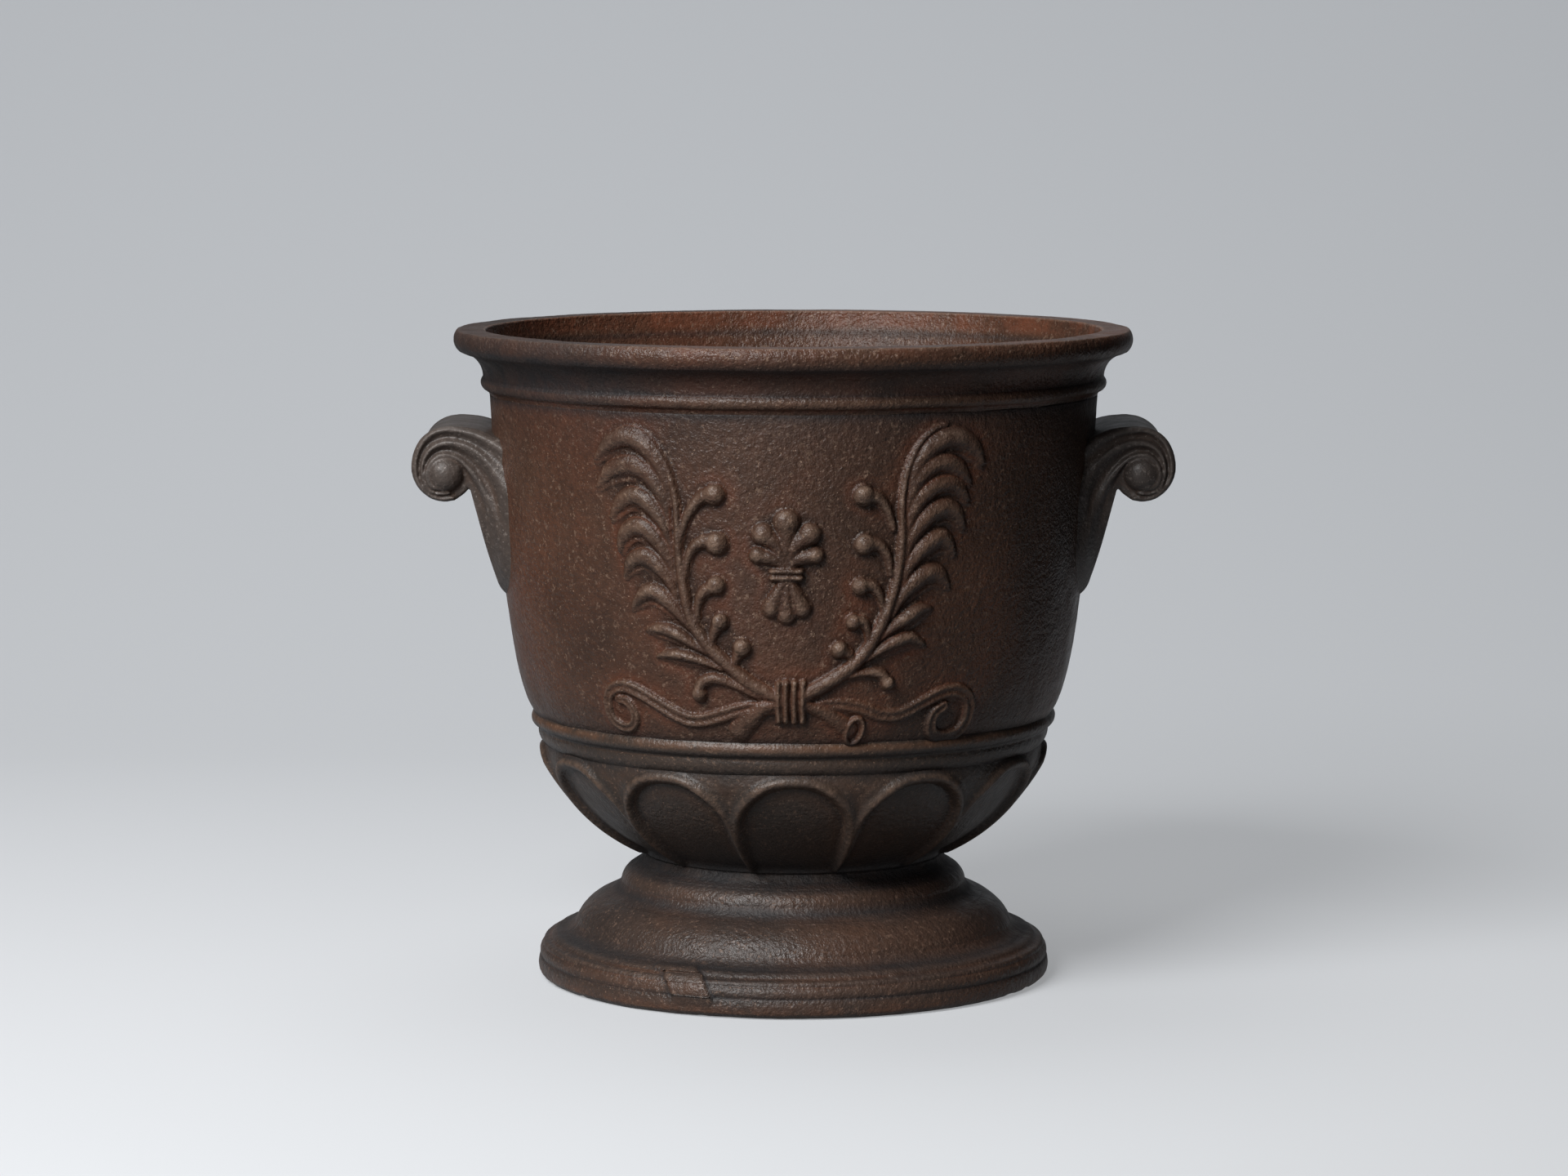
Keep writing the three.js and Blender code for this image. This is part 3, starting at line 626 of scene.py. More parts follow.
def carve_palmette(art):
    """Plumes that fan out above a tie, and short stems that fan out below it."""
    middle, foot = PLUME_FOOT
    for lean, length, half in PLUMES:
        way = np.array([math.sin(math.radians(lean)), math.cos(math.radians(lean))])
        tip = np.array([middle, foot]) + way * length
        bend = np.array([middle + way[0] * length * 0.35, foot + way[1] * length * 0.62])
        path = [(middle, foot - 2), tuple(bend), tuple(tip)]
        art.stroke(path, [2.6, 5.0, half], [3.4, 4.6, 5.6], soft=0.12)
        art.ball(tuple(tip), half, 6.2)
    for lean, length in STEMS:
        way = math.sin(math.radians(lean)), -math.cos(math.radians(lean))
        path = [(middle + way[0] * length * s, foot - 4 + way[1] * length * s) for s in (0, 0.5, 1)]
        art.stroke(path, [2.8, 4.6, 6.6], [3.6, 4.6, 5.2], soft=0.12)
    for step in (0.0, 4.2):
        tie = [(middle + way, PLUME_BAND - step) for way in (-8.5, 8.5)]
        art.stroke(tie, [2.3, 2.3], [5.8, 5.8], soft=0.1)


def draw_relief(u, z):
    """All the relief of one side of the bowl, as heights over the flattened wall."""
    art = Carving(u, z)
    carve_ribbon(art)
    carve_spray(art, LEFT_LEAVES, LEFT_STEM, 1)
    carve_spray(art, RIGHT_LEAVES, RIGHT_STEM, -1)
    carve_buds(art)
    carve_knot(art)
    carve_palmette(art)
    return art.height


print("relief drawn in", len(LEFT_LEAVES) + len(RIGHT_LEAVES) + len(BUDS), "leaves and buds")

# %% The two halves of the wall
FINE_HALF_WIDTH, FINE_STEP, SIDE_STEP = 146.0, 0.95, 2.6
WALL_BOTTOM, WALL_END = 172.2, 378.4
wall_levels = np.linspace(WALL_BOTTOM, WALL_END, int((WALL_END - WALL_BOTTOM) / FINE_STEP) + 1)
fine = np.linspace(-FINE_HALF_WIDTH, FINE_HALF_WIDTH, int(2 * FINE_HALF_WIDTH / FINE_STEP) + 1)
quarter = FLAT_RADIUS * math.pi / 2
side = np.linspace(FINE_HALF_WIDTH, quarter, int((quarter - FINE_HALF_WIDTH) / SIDE_STEP) + 1)[1:]
wall_places = np.concatenate([-side[::-1], fine, side])

relief = np.zeros((len(wall_levels), len(wall_places)))
relief[:, len(side) : len(side) + len(fine)] = draw_relief(fine, wall_levels)
standing = relief - blur(relief, 5)

# Painted shade with black patina (up to 1), in the crease at the wall's foot and in the rim's shadow at its
# top, and open rust (down to -1), by level.
WALL_SHADE_AND_WEATHER = [(172, 0.9), (174.6, 0.6), (178, 0.1), (200, -0.1), (330, 0.0), (352, 0.1), (372, 0.3),
                (378, 0.9)]


def wall_half(name, turn, levels, places, carved):
    """Half of the wall, with carved heights on it or none."""
    level, angle = np.meshgrid(levels, places / FLAT_RADIUS + turn, indexing="ij")
    plain = wall_radius(level)
    x, y = plain * np.sin(angle), -plain * np.cos(angle)
    uneven = 0.35 * ripple(x, y, level, 46.0, 3) + 0.09 * ripple(x, y, level, 9.0, 4)
    outer = round_grid(plain + carved + uneven, level, angle)
    inner = round_grid(plain - WALL_THICKNESS, level, angle)
    made = shell(name, outer, inner)
    paint_values(made, "shade_and_weather", value_at(WALL_SHADE_AND_WEATHER, level).ravel())
    return made


wall_front = wall_half("bowl_wall_front", 0.0, wall_levels, wall_places, relief)
paint_values(wall_front, "standing", standing.ravel())
# The photograph doesn't show the back, so it stays plain and needs fewer points.
back_levels = np.linspace(WALL_BOTTOM, WALL_END, 96)
back_places = np.linspace(-quarter, quarter, 240)
wall_back = wall_half("bowl_wall_back", math.pi, back_levels, back_places, 0.0)
print("wall", len(wall_front.data.polygons), "faces, relief up to", round(float(relief.max()), 2), "mm")

# %% [markdown]
# ## The cup with its twelve arches
#
# Under the belly the casting narrows to the neck as a cup. Twelve arches stand on it side by side,
# each a raised roll round a sunk panel, and the rolls of neighbours run down together as a rib.
#
# One arch is enough to describe them all. It is made as a sector of thirty degrees and Geometry
# Nodes set twelve of them round the axis and weld them into one closed wall.

# %% Shape of one arch
CUP_START, CUP_TOP, CUP_BULGE = (100.6, 84.0), (159.6, 142.0), 6.8
ARCH_COUNT = 12
ARCH_FLAT_RADIUS = 155.0  # places across an arch are measured along this circle
# Half of an arch's roll, from the crown down to the neck: (place from the middle, level).
ARCH_ROLL = [(0, 148.8), (8, 148.0), (15, 145.9), (21, 142.8), (27, 138.0), (32.0, 132.6), (35.8, 127.0),
             (38.2, 120.0), (39.5, 112.0), (40.2, 98.0), (40.4, 80.0)]
PANEL_SINK = 1.8


def place_on(line, level):
    """Where a line of (place, level), listed from the top down, lies at each level."""
    return np.interp(level, [z for _, z in line[::-1]], [u for u, _ in line[::-1]])[:, None]


def arc_points(a, b, bulge, steps):
    """Points of an arc from a to b that bulges to the right of the way."""
    a, b = np.array(a, float), np.array(b, float)
    chord = b - a
    half = np.linalg.norm(chord) / 2
    radius = (half * half + bulge * bulge) / (2 * abs(bulge))
    away = np.array([chord[1], -chord[0]]) / (2 * half) * np.sign(bulge)
    middle = (a + b) / 2 - away * (radius - abs(bulge))
    turn = math.asin(min(1.0, half / radius)) * np.linspace(-1, 1, steps) * np.sign(bulge)
    return middle + radius * (np.cos(turn)[:, None] * away
                              + np.sin(turn)[:, None] * np.array([-away[1], away[0]]))


def outline(parts, spacing):
    """Joins points and arcs of (radius, level) into one line with even steps, corners kept."""
    line = np.vstack([np.atleast_2d(np.array(p, float)) for p in parts])
    keep = np.concatenate([[True], np.linalg.norm(np.diff(line, axis=0), axis=1) > 1e-6])
    line = line[keep]
    fine = [line[0]]
    for a, b in zip(line[:-1], line[1:]):
        count = max(1, round(np.linalg.norm(b - a) / spacing))
        fine.extend(a + (b - a) * k / count for k in range(1, count + 1))
    return np.array(fine)


# %% Heights of one arch
cup_line = outline([(97.0, 79.9), (98.2, 82.2), arc_points(CUP_START, CUP_TOP, CUP_BULGE, 60),
                    (160.6, 146.0), (160.9, 150.0), (161.0, 153.5)], 1.05)
columns = 77
sector_angle = np.linspace(-math.pi / ARCH_COUNT, math.pi / ARCH_COUNT, columns)
pitch = 2 * math.pi / ARCH_COUNT * ARCH_FLAT_RADIUS
arch_grid = Carving(sector_angle * ARCH_FLAT_RADIUS, np.linspace(79.0, 154.0, 151))
for shift in (-pitch, 0.0, pitch):
    for mirror in (-1, 1):
        way = [(shift + mirror * u, z) for u, z in ARCH_ROLL]
        arch_grid.stroke(way, [4.3, 4.3, 4.1, 3.8, 3.4, 3.0], [4.2, 4.2, 4.1, 3.9, 3.6, 3.0], soft=0.3,
                         lip=1.5, lip_side=mirror, lip_reach=2.1, round_off=0.6)
# Inside the arch the panel is sunk, with a steep edge along the roll.
crown = ARCH_ROLL[0][1]
depth_in = np.minimum(place_on(ARCH_ROLL, arch_grid.z) - np.abs(arch_grid.u), (crown - arch_grid.z)[:, None])
arch_height = blur(arch_grid.height - PANEL_SINK * np.clip((depth_in - 1.8) / 2.2, 0, 1), 1)
on_line = np.stack([np.interp(cup_line[:, 1], arch_grid.z, column) for column in arch_height.T], axis=1)
on_line *= np.clip((cup_line[:, 1] - 80.5) / 4.0, 0, 1)[:, None]
print("arch roll up to", round(float(on_line.max()), 2), "mm on", cup_line.shape[0], "rows")


# %% One sector of the cup
def line_normals(line):
    """Directions square to a line of (radius, level), pointing out of the casting."""
    step = np.gradient(line, axis=0)
    step /= np.linalg.norm(step, axis=1)[:, None]
    return np.stack([step[:, 1], -step[:, 0]], axis=1)


normal = line_normals(cup_line)
levels = cup_line[:, 1:2] + normal[:, 1:2] * on_line
radii = cup_line[:, 0:1] + normal[:, 0:1] * on_line
sector_outer = round_grid(radii, levels, sector_angle[None, :] + 0 * radii)
# Inside, the cup ends on the bowl's floor.
FLOOR_TOP, FLOOR_RADIUS = 90.0, 88.0
inner_line = cup_line - normal * WALL_THICKNESS
inner_line[:, 1] = np.maximum(inner_line[:, 1], FLOOR_TOP - 1.0)
at_floor = cup_line[:, 1] < FLOOR_TOP
inner_line[at_floor, 0] = np.minimum(inner_line[at_floor, 0], FLOOR_RADIUS)
sector_inner = round_grid(inner_line[:, 0:1] + 0 * radii, inner_line[:, 1:2] + 0 * radii,
                          sector_angle[None, :] + 0 * radii)
sector = shell("arch_sector", sector_outer, sector_inner, every=4, with_sides=False)
paint_values(sector, "standing", (on_line - blur(on_line, 5)).ravel())
# Painted shade with black patina by level (up to 1): darkest at the bottom by the neck, and in the crease
# under the beads.
CUP_SHADE_AND_WEATHER = [(80, 1.0), (86, 0.8), (93, 0.45), (108, 0.25), (128, 0.15), (144, 0.1), (150, 0.3),
               (153.5, 0.7)]
paint_values(sector, "shade_and_weather", np.repeat(value_at(CUP_SHADE_AND_WEATHER, cup_line[:, 1]), columns))
print("one sector", len(sector.data.polygons), "faces")


# %% Tools for Geometry Nodes
def node_group(name, inputs):
    """A tree of Geometry Nodes with its named inputs: label, kind and default."""
    group = bpy.data.node_groups.new(name, "GeometryNodeTree")
    group.interface.new_socket("Geometry", in_out="INPUT", socket_type="NodeSocketGeometry")
    group.interface.new_socket("Geometry", in_out="OUTPUT", socket_type="NodeSocketGeometry")
    for label, kind, default in inputs:
        socket = group.interface.new_socket(label, in_out="INPUT", socket_type=kind)
        socket.default_value = default
    return group, group.nodes.new("NodeGroupInput"), group.nodes.new("NodeGroupOutput")


def grow(base, group, values):
    """Runs the node group on the object base and keeps the result as a plain mesh."""
    modifier = base.modifiers.new(group.name, "NODES")
    modifier.node_group = group
    for item in group.interface.items_tree:
        if item.item_type == "SOCKET" and item.in_out == "INPUT" and item.name in values:
            modifier[item.identifier] = values[item.name]
    bpy.context.view_layer.update()
    evaluated = base.evaluated_get(bpy.context.evaluated_depsgraph_get())
    mesh = bpy.data.meshes.new_from_object(evaluated)
    base.modifiers.remove(modifier)
    old = base.data
    base.data = mesh
    bpy.data.meshes.remove(old)
    base.data.name = base.name
    return base


print("tools for Geometry Nodes ready")

# %% Twelve sectors in a ring
WELD_DISTANCE = 0.02 * MM
ring, source, result = node_group("arches_in_a_ring", [("Count", "NodeSocketInt", ARCH_COUNT),
                                                       ("Weld", "NodeSocketFloat", WELD_DISTANCE)])
points = add_node(ring, "GeometryNodePoints", Count=source.outputs["Count"])
index = add_node(ring, "GeometryNodeInputIndex")
step = calculate(ring, "DIVIDE", 2 * math.pi, source.outputs["Count"])
turn = calculate(ring, "MULTIPLY", index.outputs[0], step)
angles = add_node(ring, "ShaderNodeCombineXYZ", Z=turn)
placed = add_node(ring, "GeometryNodeInstanceOnPoints", Points=points.outputs[0],
                  Instance=source.outputs["Geometry"], Rotation=angles.outputs[0])
real = add_node(ring, "GeometryNodeRealizeInstances", Geometry=placed.outputs[0])
weld = add_node(ring, "GeometryNodeMergeByDistance", Geometry=real.outputs[0],
                Distance=source.outputs["Weld"])
coated = add_node(ring, "GeometryNodeSetMaterial", Geometry=weld.outputs[0], Material=cup_iron)
ring.links.new(coated.outputs[0], result.inputs[0])
cup = grow(sector, ring, {"Count": ARCH_COUNT, "Weld": WELD_DISTANCE})
cup.name = "bowl_cup"
print("cup", len(cup.data.polygons), "faces")

# %% [markdown]
# ## Round mouldings
#
# Beads, coves and lips are the same all the way round, as a turned pattern leaves them. A profile
# of radius and level is swept round the axis. Blender's Screw modifier would turn it just as well,
# but the casting isn't perfect: each ring wavers by a few tenths of a millimetre, and the foot has
# patches and chips. So every point is worked out here and pushed along its own normal.


# %% A ring from a profile
LARGEST_RADIUS, TOP_LEVEL = frame_high[1] / MM, frame_high[2] / MM


def even_angles(count):
    """Angles all the way round, the same distance apart."""
    return np.linspace(0, 2 * np.pi, count, endpoint=False)


def from_front(angle):
    """Angles counted both ways from the front, from -pi to pi."""
    return (angle + np.pi) % (2 * np.pi) - np.pi


def smoothed(line, rounds):
    """A line with its corners worn round."""
    worn = line.copy()
    for _ in range(rounds):
        worn[1:-1] = (worn[:-2] + worn[1:-1] * 2 + worn[2:]) / 4
    return worn


def no_stain(angle, line):
    return 0 * angle


def ring_piece(name, line, angle, uneven=0.3, wave=60.0, seed=1, change=None, shade_and_weather=((0, 0),),
               stain_and_shade=no_stain):
    """Sweeps a closed profile, which runs up the outside and down the inside, round the axis.

    change gives how far each point is pushed outwards, and stain what is added to the number of shade and
    weather, stains and painted shadows alike."""
    segments = len(angle)
    r = line[:, 0:1] + 0 * angle
    z = line[:, 1:2] + 0 * angle
    face = line_normals(line)
    x, y = r * np.sin(angle), -r * np.cos(angle)
    push = uneven * (ripple(x, y, z, wave, seed) + 0.3 * ripple(x, y, z, wave / 6, seed + 1))
    if change is not None:
        push = push + change(angle, line)
    radius = np.minimum(r + face[:, 0:1] * push, LARGEST_RADIUS)
    level = np.clip(z + face[:, 1:2] * push, 0.0, TOP_LEVEL)
    grid = round_grid(radius, level, angle + 0 * r)
    rows = len(line)
    faces = grid_faces(rows, segments, 0, closed=True)
    last = (rows - 1) * segments
    faces += [[last + c, last + (c + 1) % segments, (c + 1) % segments, c] for c in range(segments)]
    made = mesh_object(name, grid.reshape(-1, 3), faces)
    out = ((line - smoothed(line, 12)) * face).sum(axis=1)
    paint_values(made, "standing", np.repeat(out * 3.0, segments))
    paint_values(made, "shade_and_weather", (value_at(shade_and_weather, line[:, 1])[:, None] + stain_and_shade(angle, line)).ravel())
    return made


# %% Beads at the belly
bead_line = outline([(160.4, 151.4), arc_points((160.8, 152.4), (165.2, 162.2), 1.5, 14), (165.2, 163.0),
                     (165.5, 163.8), arc_points((166.1, 164.2), (168.9, 172.4), 2.1, 18),
                     (168.3, 173.4), (167.8, 174.6), (158.0, 174.6), (152.0, 160.0), (151.0, 153.0)], 0.7)
# Painted shade with black patina by level (up to 1) in the creases below, between and above the beads, and
# open rust (down to -1) on the belly bead's crest.
BEAD_SHADE_AND_WEATHER = [(151, 0.7), (153.5, 0.5), (158, 0.1), (163, 0.0), (165, 0.8), (167, 0.1), (169.0, -0.6),
                (171.5, -0.9), (173.0, -0.3), (174.2, 0.9)]
beads = ring_piece("bowl_beads", bead_line, even_angles(400), uneven=0.25, seed=5, shade_and_weather=BEAD_SHADE_AND_WEATHER)
print("beads", len(beads.data.polygons), "faces")

# %% Rim: bead, cove and lip
rim_line = outline([(187.8, 377.6), (195.4, 377.6), (196.0, 379.2), (197.0, 380.6),
                    arc_points((197.6, 381.2), (199.8, 389.4), 2.6, 16),
                    arc_points((199.8, 390.0), (213.0, 405.4), -3.6, 22), (214.6, 406.2),
                    arc_points((215.2, 406.4), (216.2, 419.6), 2.7, 26), (214.6, 420.0), (200.4, 420.0),
                    arc_points((200.0, 420.0), (198.2, 418.2), 0.7, 6)[1:],
                    (197.0, 412.0), (194.2, 402.0), (190.4, 390.0)], 0.8)
# Painted shade with black patina by level (up to 1) where the rim meets the wall, in the crease above its
# bead and under the lip, and a little open rust (down to -1) on top.
RIM_SHADE_AND_WEATHER = [(377.6, 0.8), (380, 0.3), (382, 0.0), (387, 0.0), (390, 0.7), (393, 0.4), (401, 0.3),
               (405.5, 0.9), (408, 0.3), (411, 0.0), (420, -0.2)]
INNER_EDGE = 199.0  # radius: what lies further in belongs to the mouth


def rusty_inside(angle, line):
    """Rain keeps the inside of the mouth rusty, and the lip is blacker on the left."""
    handled = 0.8 * np.clip((-from_front(angle) - 0.35) / 0.35, 0, 1) * (line[:, 0:1] >= INNER_EDGE)
    return -0.4 * (line[:, 0:1] < INNER_EDGE) + handled


rim = ring_piece("bowl_rim", rim_line, even_angles(480), uneven=0.28, seed=7, shade_and_weather=RIM_SHADE_AND_WEATHER,
                 stain_and_shade=rusty_inside)
print("rim", len(rim.data.polygons), "faces")

# %% [markdown]
# ## The floor of the bowl
#
# The bowl stands on the foot with a thick floor. It has a hole in the middle for the bolt that ties
# the two together, and three holes round it that let the rain out. It is a ring like the mouldings,
# with the bolt's hole as its bore. The drain holes are off the axis, so a Boolean modifier cuts them.

# %% Floor of the bowl
DRAIN_RADIUS, DRAIN_CIRCLE, TIE_HOLE = 7.0, 48.0, 7.0
floor_line = outline([(TIE_HOLE, 80.2), (94.8, 80.2), (96.2, 82.4), (91.0, FLOOR_TOP),
                      (TIE_HOLE, FLOOR_TOP)], 4.0)
plate = ring_piece("bowl_floor", floor_line, even_angles(96), uneven=0.0)


def drill(piece, places, radius, low, high):
    """Cuts round holes along Z through a piece."""
    for x, y in places:
        bpy.ops.mesh.primitive_cylinder_add(vertices=32, radius=radius * MM, depth=(high - low) * MM,
                                            location=(x * MM, y * MM, (high + low) / 2 * MM))
        cutter = bpy.context.object
        cut = piece.modifiers.new("hole", "BOOLEAN")
        cut.operation, cut.solver, cut.object = "DIFFERENCE", "EXACT", cutter
        mesh = bpy.data.meshes.new_from_object(piece.evaluated_get(bpy.context.evaluated_depsgraph_get()))
        piece.modifiers.remove(cut)
        piece.data = mesh
        bpy.data.objects.remove(cutter)


DRAINS = [(DRAIN_CIRCLE * math.sin(a), -DRAIN_CIRCLE * math.cos(a))
          for a in (math.pi / 3, math.pi, 5 * math.pi / 3)]
drill(plate, DRAINS, DRAIN_RADIUS, 75.0, 95.0)
print("floor", len(plate.data.polygons), "faces")

# %% [markdown]
# ## The foot
#
# A hollow casting: a ribbed band at the floor, a round shoulder, a collar and a neck. Two smooth
# patches cross the mouldings of the band near the front, where the mould was mended, and the
# bottom edge is chipped from years on stone.
#
# Patches and chips could be sculpted by hand. Here they are rules: a patch fills the hollows of the
# profile between two slanting edges, and a chip is where a slow unevenness rises above a limit. The
# points stand closer together where the patches lie, which keeps the mesh light elsewhere.

# %% Profile of the foot
foot_outer = outline([(159.4, 0.0), (162.6, 0.6), (165.0, 2.6),
                      arc_points((165.7, 3.8), (165.3, 12.2), 0.7, 12), (164.7, 12.9), (165.1, 13.8),
                      arc_points((165.2, 14.2), (164.2, 19.2), 0.5, 8), (163.4, 20.0),
                      arc_points((163.2, 20.5), (160.4, 23.5), 0.9, 7), (158.8, 24.0), (158.0, 24.5),
                      arc_points((157.6, 24.9), (152.8, 27.8), 0.8, 7), (151.3, 28.2), (149.6, 28.7),
                      arc_points((148.7, 29.3), (142.4, 34.0), -0.7, 8),
                      arc_points((142.1, 34.3), (123.6, 52.4), 2.9, 28),
                      arc_points((123.0, 52.8), (112.4, 60.6), -1.9, 12),
                      arc_points((112.1, 61.0), (104.6, 71.2), 1.7, 16),
                      arc_points((104.3, 71.6), (97.0, 79.9), -1.4, 12)], 0.75)
PLATE_UNDERSIDE = 70.0
foot_inner = outline([(TIE_HOLE, 79.9), (TIE_HOLE, PLATE_UNDERSIDE), (82.0, PLATE_UNDERSIDE), (106.0, 49.0),
                      (134.5, 28.4), (152.0, 15.0), (152.0, 0.0)], 4.0)
foot_line = np.vstack([foot_outer, foot_inner])
print("profile of the foot", len(foot_line), "points")

# %% Angles of the foot, closer together at the patches
BAND_RADIUS = 150.0  # places along the band are measured round this circle
CLOSE_PLACES = [(-100.0, -40.0), (52.0, 88.0)]
EVEN_PITCH, CLOSE_PITCH = 2.25, 0.95
band = np.linspace(-math.pi, math.pi, 20001) * BAND_RADIUS
close = sum(((band > low) & (band < high)).astype(float) for low, high in CLOSE_PLACES)
reached = np.cumsum(1 / EVEN_PITCH + close * (1 / CLOSE_PITCH - 1 / EVEN_PITCH)) * (band[1] - band[0])
marks = np.linspace(0, reached[-1], int(reached[-1]), endpoint=False)
foot_angles = np.interp(marks, reached, band) / BAND_RADIUS
print("foot", len(foot_angles), "angles")

# %% Patches and chips
# The slanting edges of the near patch, and the middle of the far one: (place on the band, level).
PATCH_LEFT = [(-89, 26.5), (-80, 24), (-76, 20), (-73, 15), (-70, 8)]
PATCH_RIGHT = [(-62, 28.5), (-57, 26), (-52, 22), (-50, 18), (-47, 13)]
FAR_PATCH = (70.0, 20.0)


def rise(edge, width):
    """From 0 at an edge to 1 at a distance from it."""
    return np.clip(edge / width, 0, 1)


def mended(angle, line):
    """Pushes the band out where the smooth patches lie, and breaks small chips out of its edge."""
    turn = from_front(angle)
    u = turn[None, :] * BAND_RADIUS
    z = line[:, 1:2] + 0 * u
    left, right = place_on(PATCH_LEFT, line[:, 1]), place_on(PATCH_RIGHT, line[:, 1])
    fill = ((smoothed(line, 30) - line) * line_normals(line)).sum(axis=1)[:, None]
    near = rise(u - left, 1.2) * rise(right - u, 0.5) * rise(z - 7.0, 6.0) * rise(29.5 - z, 3.0)
    worn = rise(left + 1.5 - u, 4.0) * rise(u + 190.0, 60.0) * rise(z - 10.0, 4.0) * rise(31.0 - z, 3.0)
    slant = np.abs(u - FAR_PATCH[0] + 1.2 * (z - FAR_PATCH[1]))
    far = rise(8.0 - slant, 1.2) * rise(z - 14.0, 4.0) * rise(30.0 - z, 3.0)
    push = near * (0.95 * fill + 2.4) + worn * fill * 0.75 + far * (0.9 * fill + 0.7)
    rough = ripple(BAND_RADIUS * np.sin(turn), BAND_RADIUS * np.cos(turn), 0 * turn, 17.0, 21)[None, :]
    chip = np.clip(rough - 0.45, 0, 1) * np.clip(1 - z / 3.2, 0, 1) * 1.8
    on_the_band = line[:, 0:1] > 120
    return np.where(on_the_band, push - chip, 0.0)


# Painted shade with black patina by level (up to 1): in the band's grooves, in the hollow above the shoulder,
# and darkest on the neck, where the cup's shadow falls; open rust (down to -1) near the floor.
FOOT_SHADE_AND_WEATHER = [(0, 0.6), (2, 0.1), (4, -0.7), (7, -0.3), (11, 0.1), (13, 0.8), (15, 0.1), (20, 0.1),
                (23, 0.5), (25, 0.2), (28.5, 0.9), (31, 0.5), (36, 0.05), (50, 0.1), (53, 0.4),
                (57, 0.95), (60, 0.6), (63.5, 0.0), (67.5, 0.0), (70.5, 0.7), (74, 1.0), (80, 1.0)]


def patch_shadows_and_stains(angle, line):
    """Painted shadows lie along the edges of the smooth patch, and the patch itself is lighter."""
    u = from_front(angle)[None, :] * BAND_RADIUS
    z = line[:, 1:2] + 0 * u
    left, right = place_on(PATCH_LEFT, line[:, 1]), place_on(PATCH_RIGHT, line[:, 1])
    inside = rise(z - 9.0, 4.0) * rise(29.0 - z, 3.0)
    # Painted shadow lines just beside the patch's right and left edges.
    edges = 0.8 * np.exp(-(((u - right - 1.2) / 1.2) ** 2)) + 0.45 * np.exp(-(((u - left + 1.0) / 1.4) ** 2))
    clean = 0.4 * (u > left) * (u < right)
    reddish = 0.35 * rise(left - u, 5.0) * rise(u + 200.0, 40.0)
    return inside * (edges - clean - reddish)


foot = ring_piece("foot_casting", foot_line, foot_angles, seed=9, change=mended, shade_and_weather=FOOT_SHADE_AND_WEATHER,
                  stain_and_shade=patch_shadows_and_stains)
drill(foot, DRAINS, DRAIN_RADIUS, 60.0, 85.0)
print("foot", len(foot.data.polygons), "faces")

# %% [markdown]
# ## The scroll handles
#
# Each handle is its own casting, screwed against the wall. Seen from the front it is a fluted
# scroll: three ridges leave the wall fanned out, run over the top side by side, and roll up round
# an eye that ends in a ball. A bent tube would be quicker, but its section couldn't change from
# the broad foot on the wall to the tight roll. So the ridges and the flutes between them are lines
# in space, the handle is the skin stretched over them, and the eye is turned. The Remesh modifier
# joins the two with even small faces, and Smooth rounds every edge a little, as moulding sand does.

# %% Lines of the handle
EYE_REACH, EYE_LEVEL, EYE_RADIUS, EYE_HALF_LENGTH = 221.5, 330.0, 11.4, 58.0
DRUM_RADIUS, EYE_SIDES = 17.6, 48
SCROLL_HALF_WIDTH, FLUTE_DEPTH = 50.0, 3.8
STATIONS, STEPS_ACROSS = 150, 8
# For each line: how far it stands out sideways at the wall and at the eye, and its way as
# (reach from the axis, level).
LINES = [
    (4.0, -1.5, [(180, 350), (190, 354), (196, 356.8), (203, 359), (212, 360.3), (221.5, 360.3), (229, 358.3),
                 (235.5, 354), (240, 348), (242.8, 340), (243.2, 331), (240.5, 323), (235.5, 317),
                 (229, 313), (221.5, 311.8), (214, 313)]),
    (13.0, 1.5, [(176, 337), (183, 345), (190, 349.5), (200, 354.5), (210, 357.3), (221.5, 358),
                 (230, 355.3), (236.5, 348), (239.8, 338), (239.8, 329), (236.5, 321.5), (231, 316.3),
                 (225, 314), (216, 315)]),
    (13.5, 1.5 - FLUTE_DEPTH, [(173, 325), (181, 333), (187, 339), (195, 344.8), (205, 350.3), (215, 353),
                               (221.5, 353.4), (230, 350.5), (235.7, 344), (238, 335), (237.4, 327),
                               (234, 320), (228.5, 316.3), (221.5, 315.4), (217, 316.4)]),
    (18.0, 3.0, [(174, 308), (181, 318), (186, 325), (191, 333), (200, 343.5), (210, 348.5), (220, 349.9),
                 (229, 346.8), (234.4, 340.5), (236.4, 331.5), (234.8, 323.7), (231, 318.9), (225, 316.8),
                 (218, 317.8)]),
    (14.0, 3.0 - FLUTE_DEPTH, [(174, 288), (181, 297), (186, 305), (189.5, 316), (195, 326), (203, 336),
                               (211, 342.3), (220, 345.5), (228, 343), (233, 337), (235, 329.5), (232.4, 322),
                               (227.5, 318.6), (220, 318.4)]),
    (8.0, 4.0, [(174, 268), (181, 278), (187, 290), (192, 308), (198.5, 322), (205.5, 332.5), (213, 339.5),
                (221, 342.7), (228.5, 339.9), (232.9, 333), (233.2, 327), (230, 321.6), (223, 319.8)]),
    (-6.0, 0.5, [(174, 250), (181, 261), (187, 271), (193, 294), (198.5, 313), (203, 322), (207, 330.5),
                 (213, 336.8), (221.5, 339.5), (227, 337), (230.5, 331.5), (229.5, 326), (226, 323)]),
    (-38.0, 0.0, [(176, 241), (184, 249), (188.6, 255), (191.5, 264), (196, 280), (201, 300), (204.5, 314),
                  (207.5, 325), (212, 332), (217, 335.5), (221.5, 336), (226, 333.5), (227, 329),
                  (225, 326)]),
]


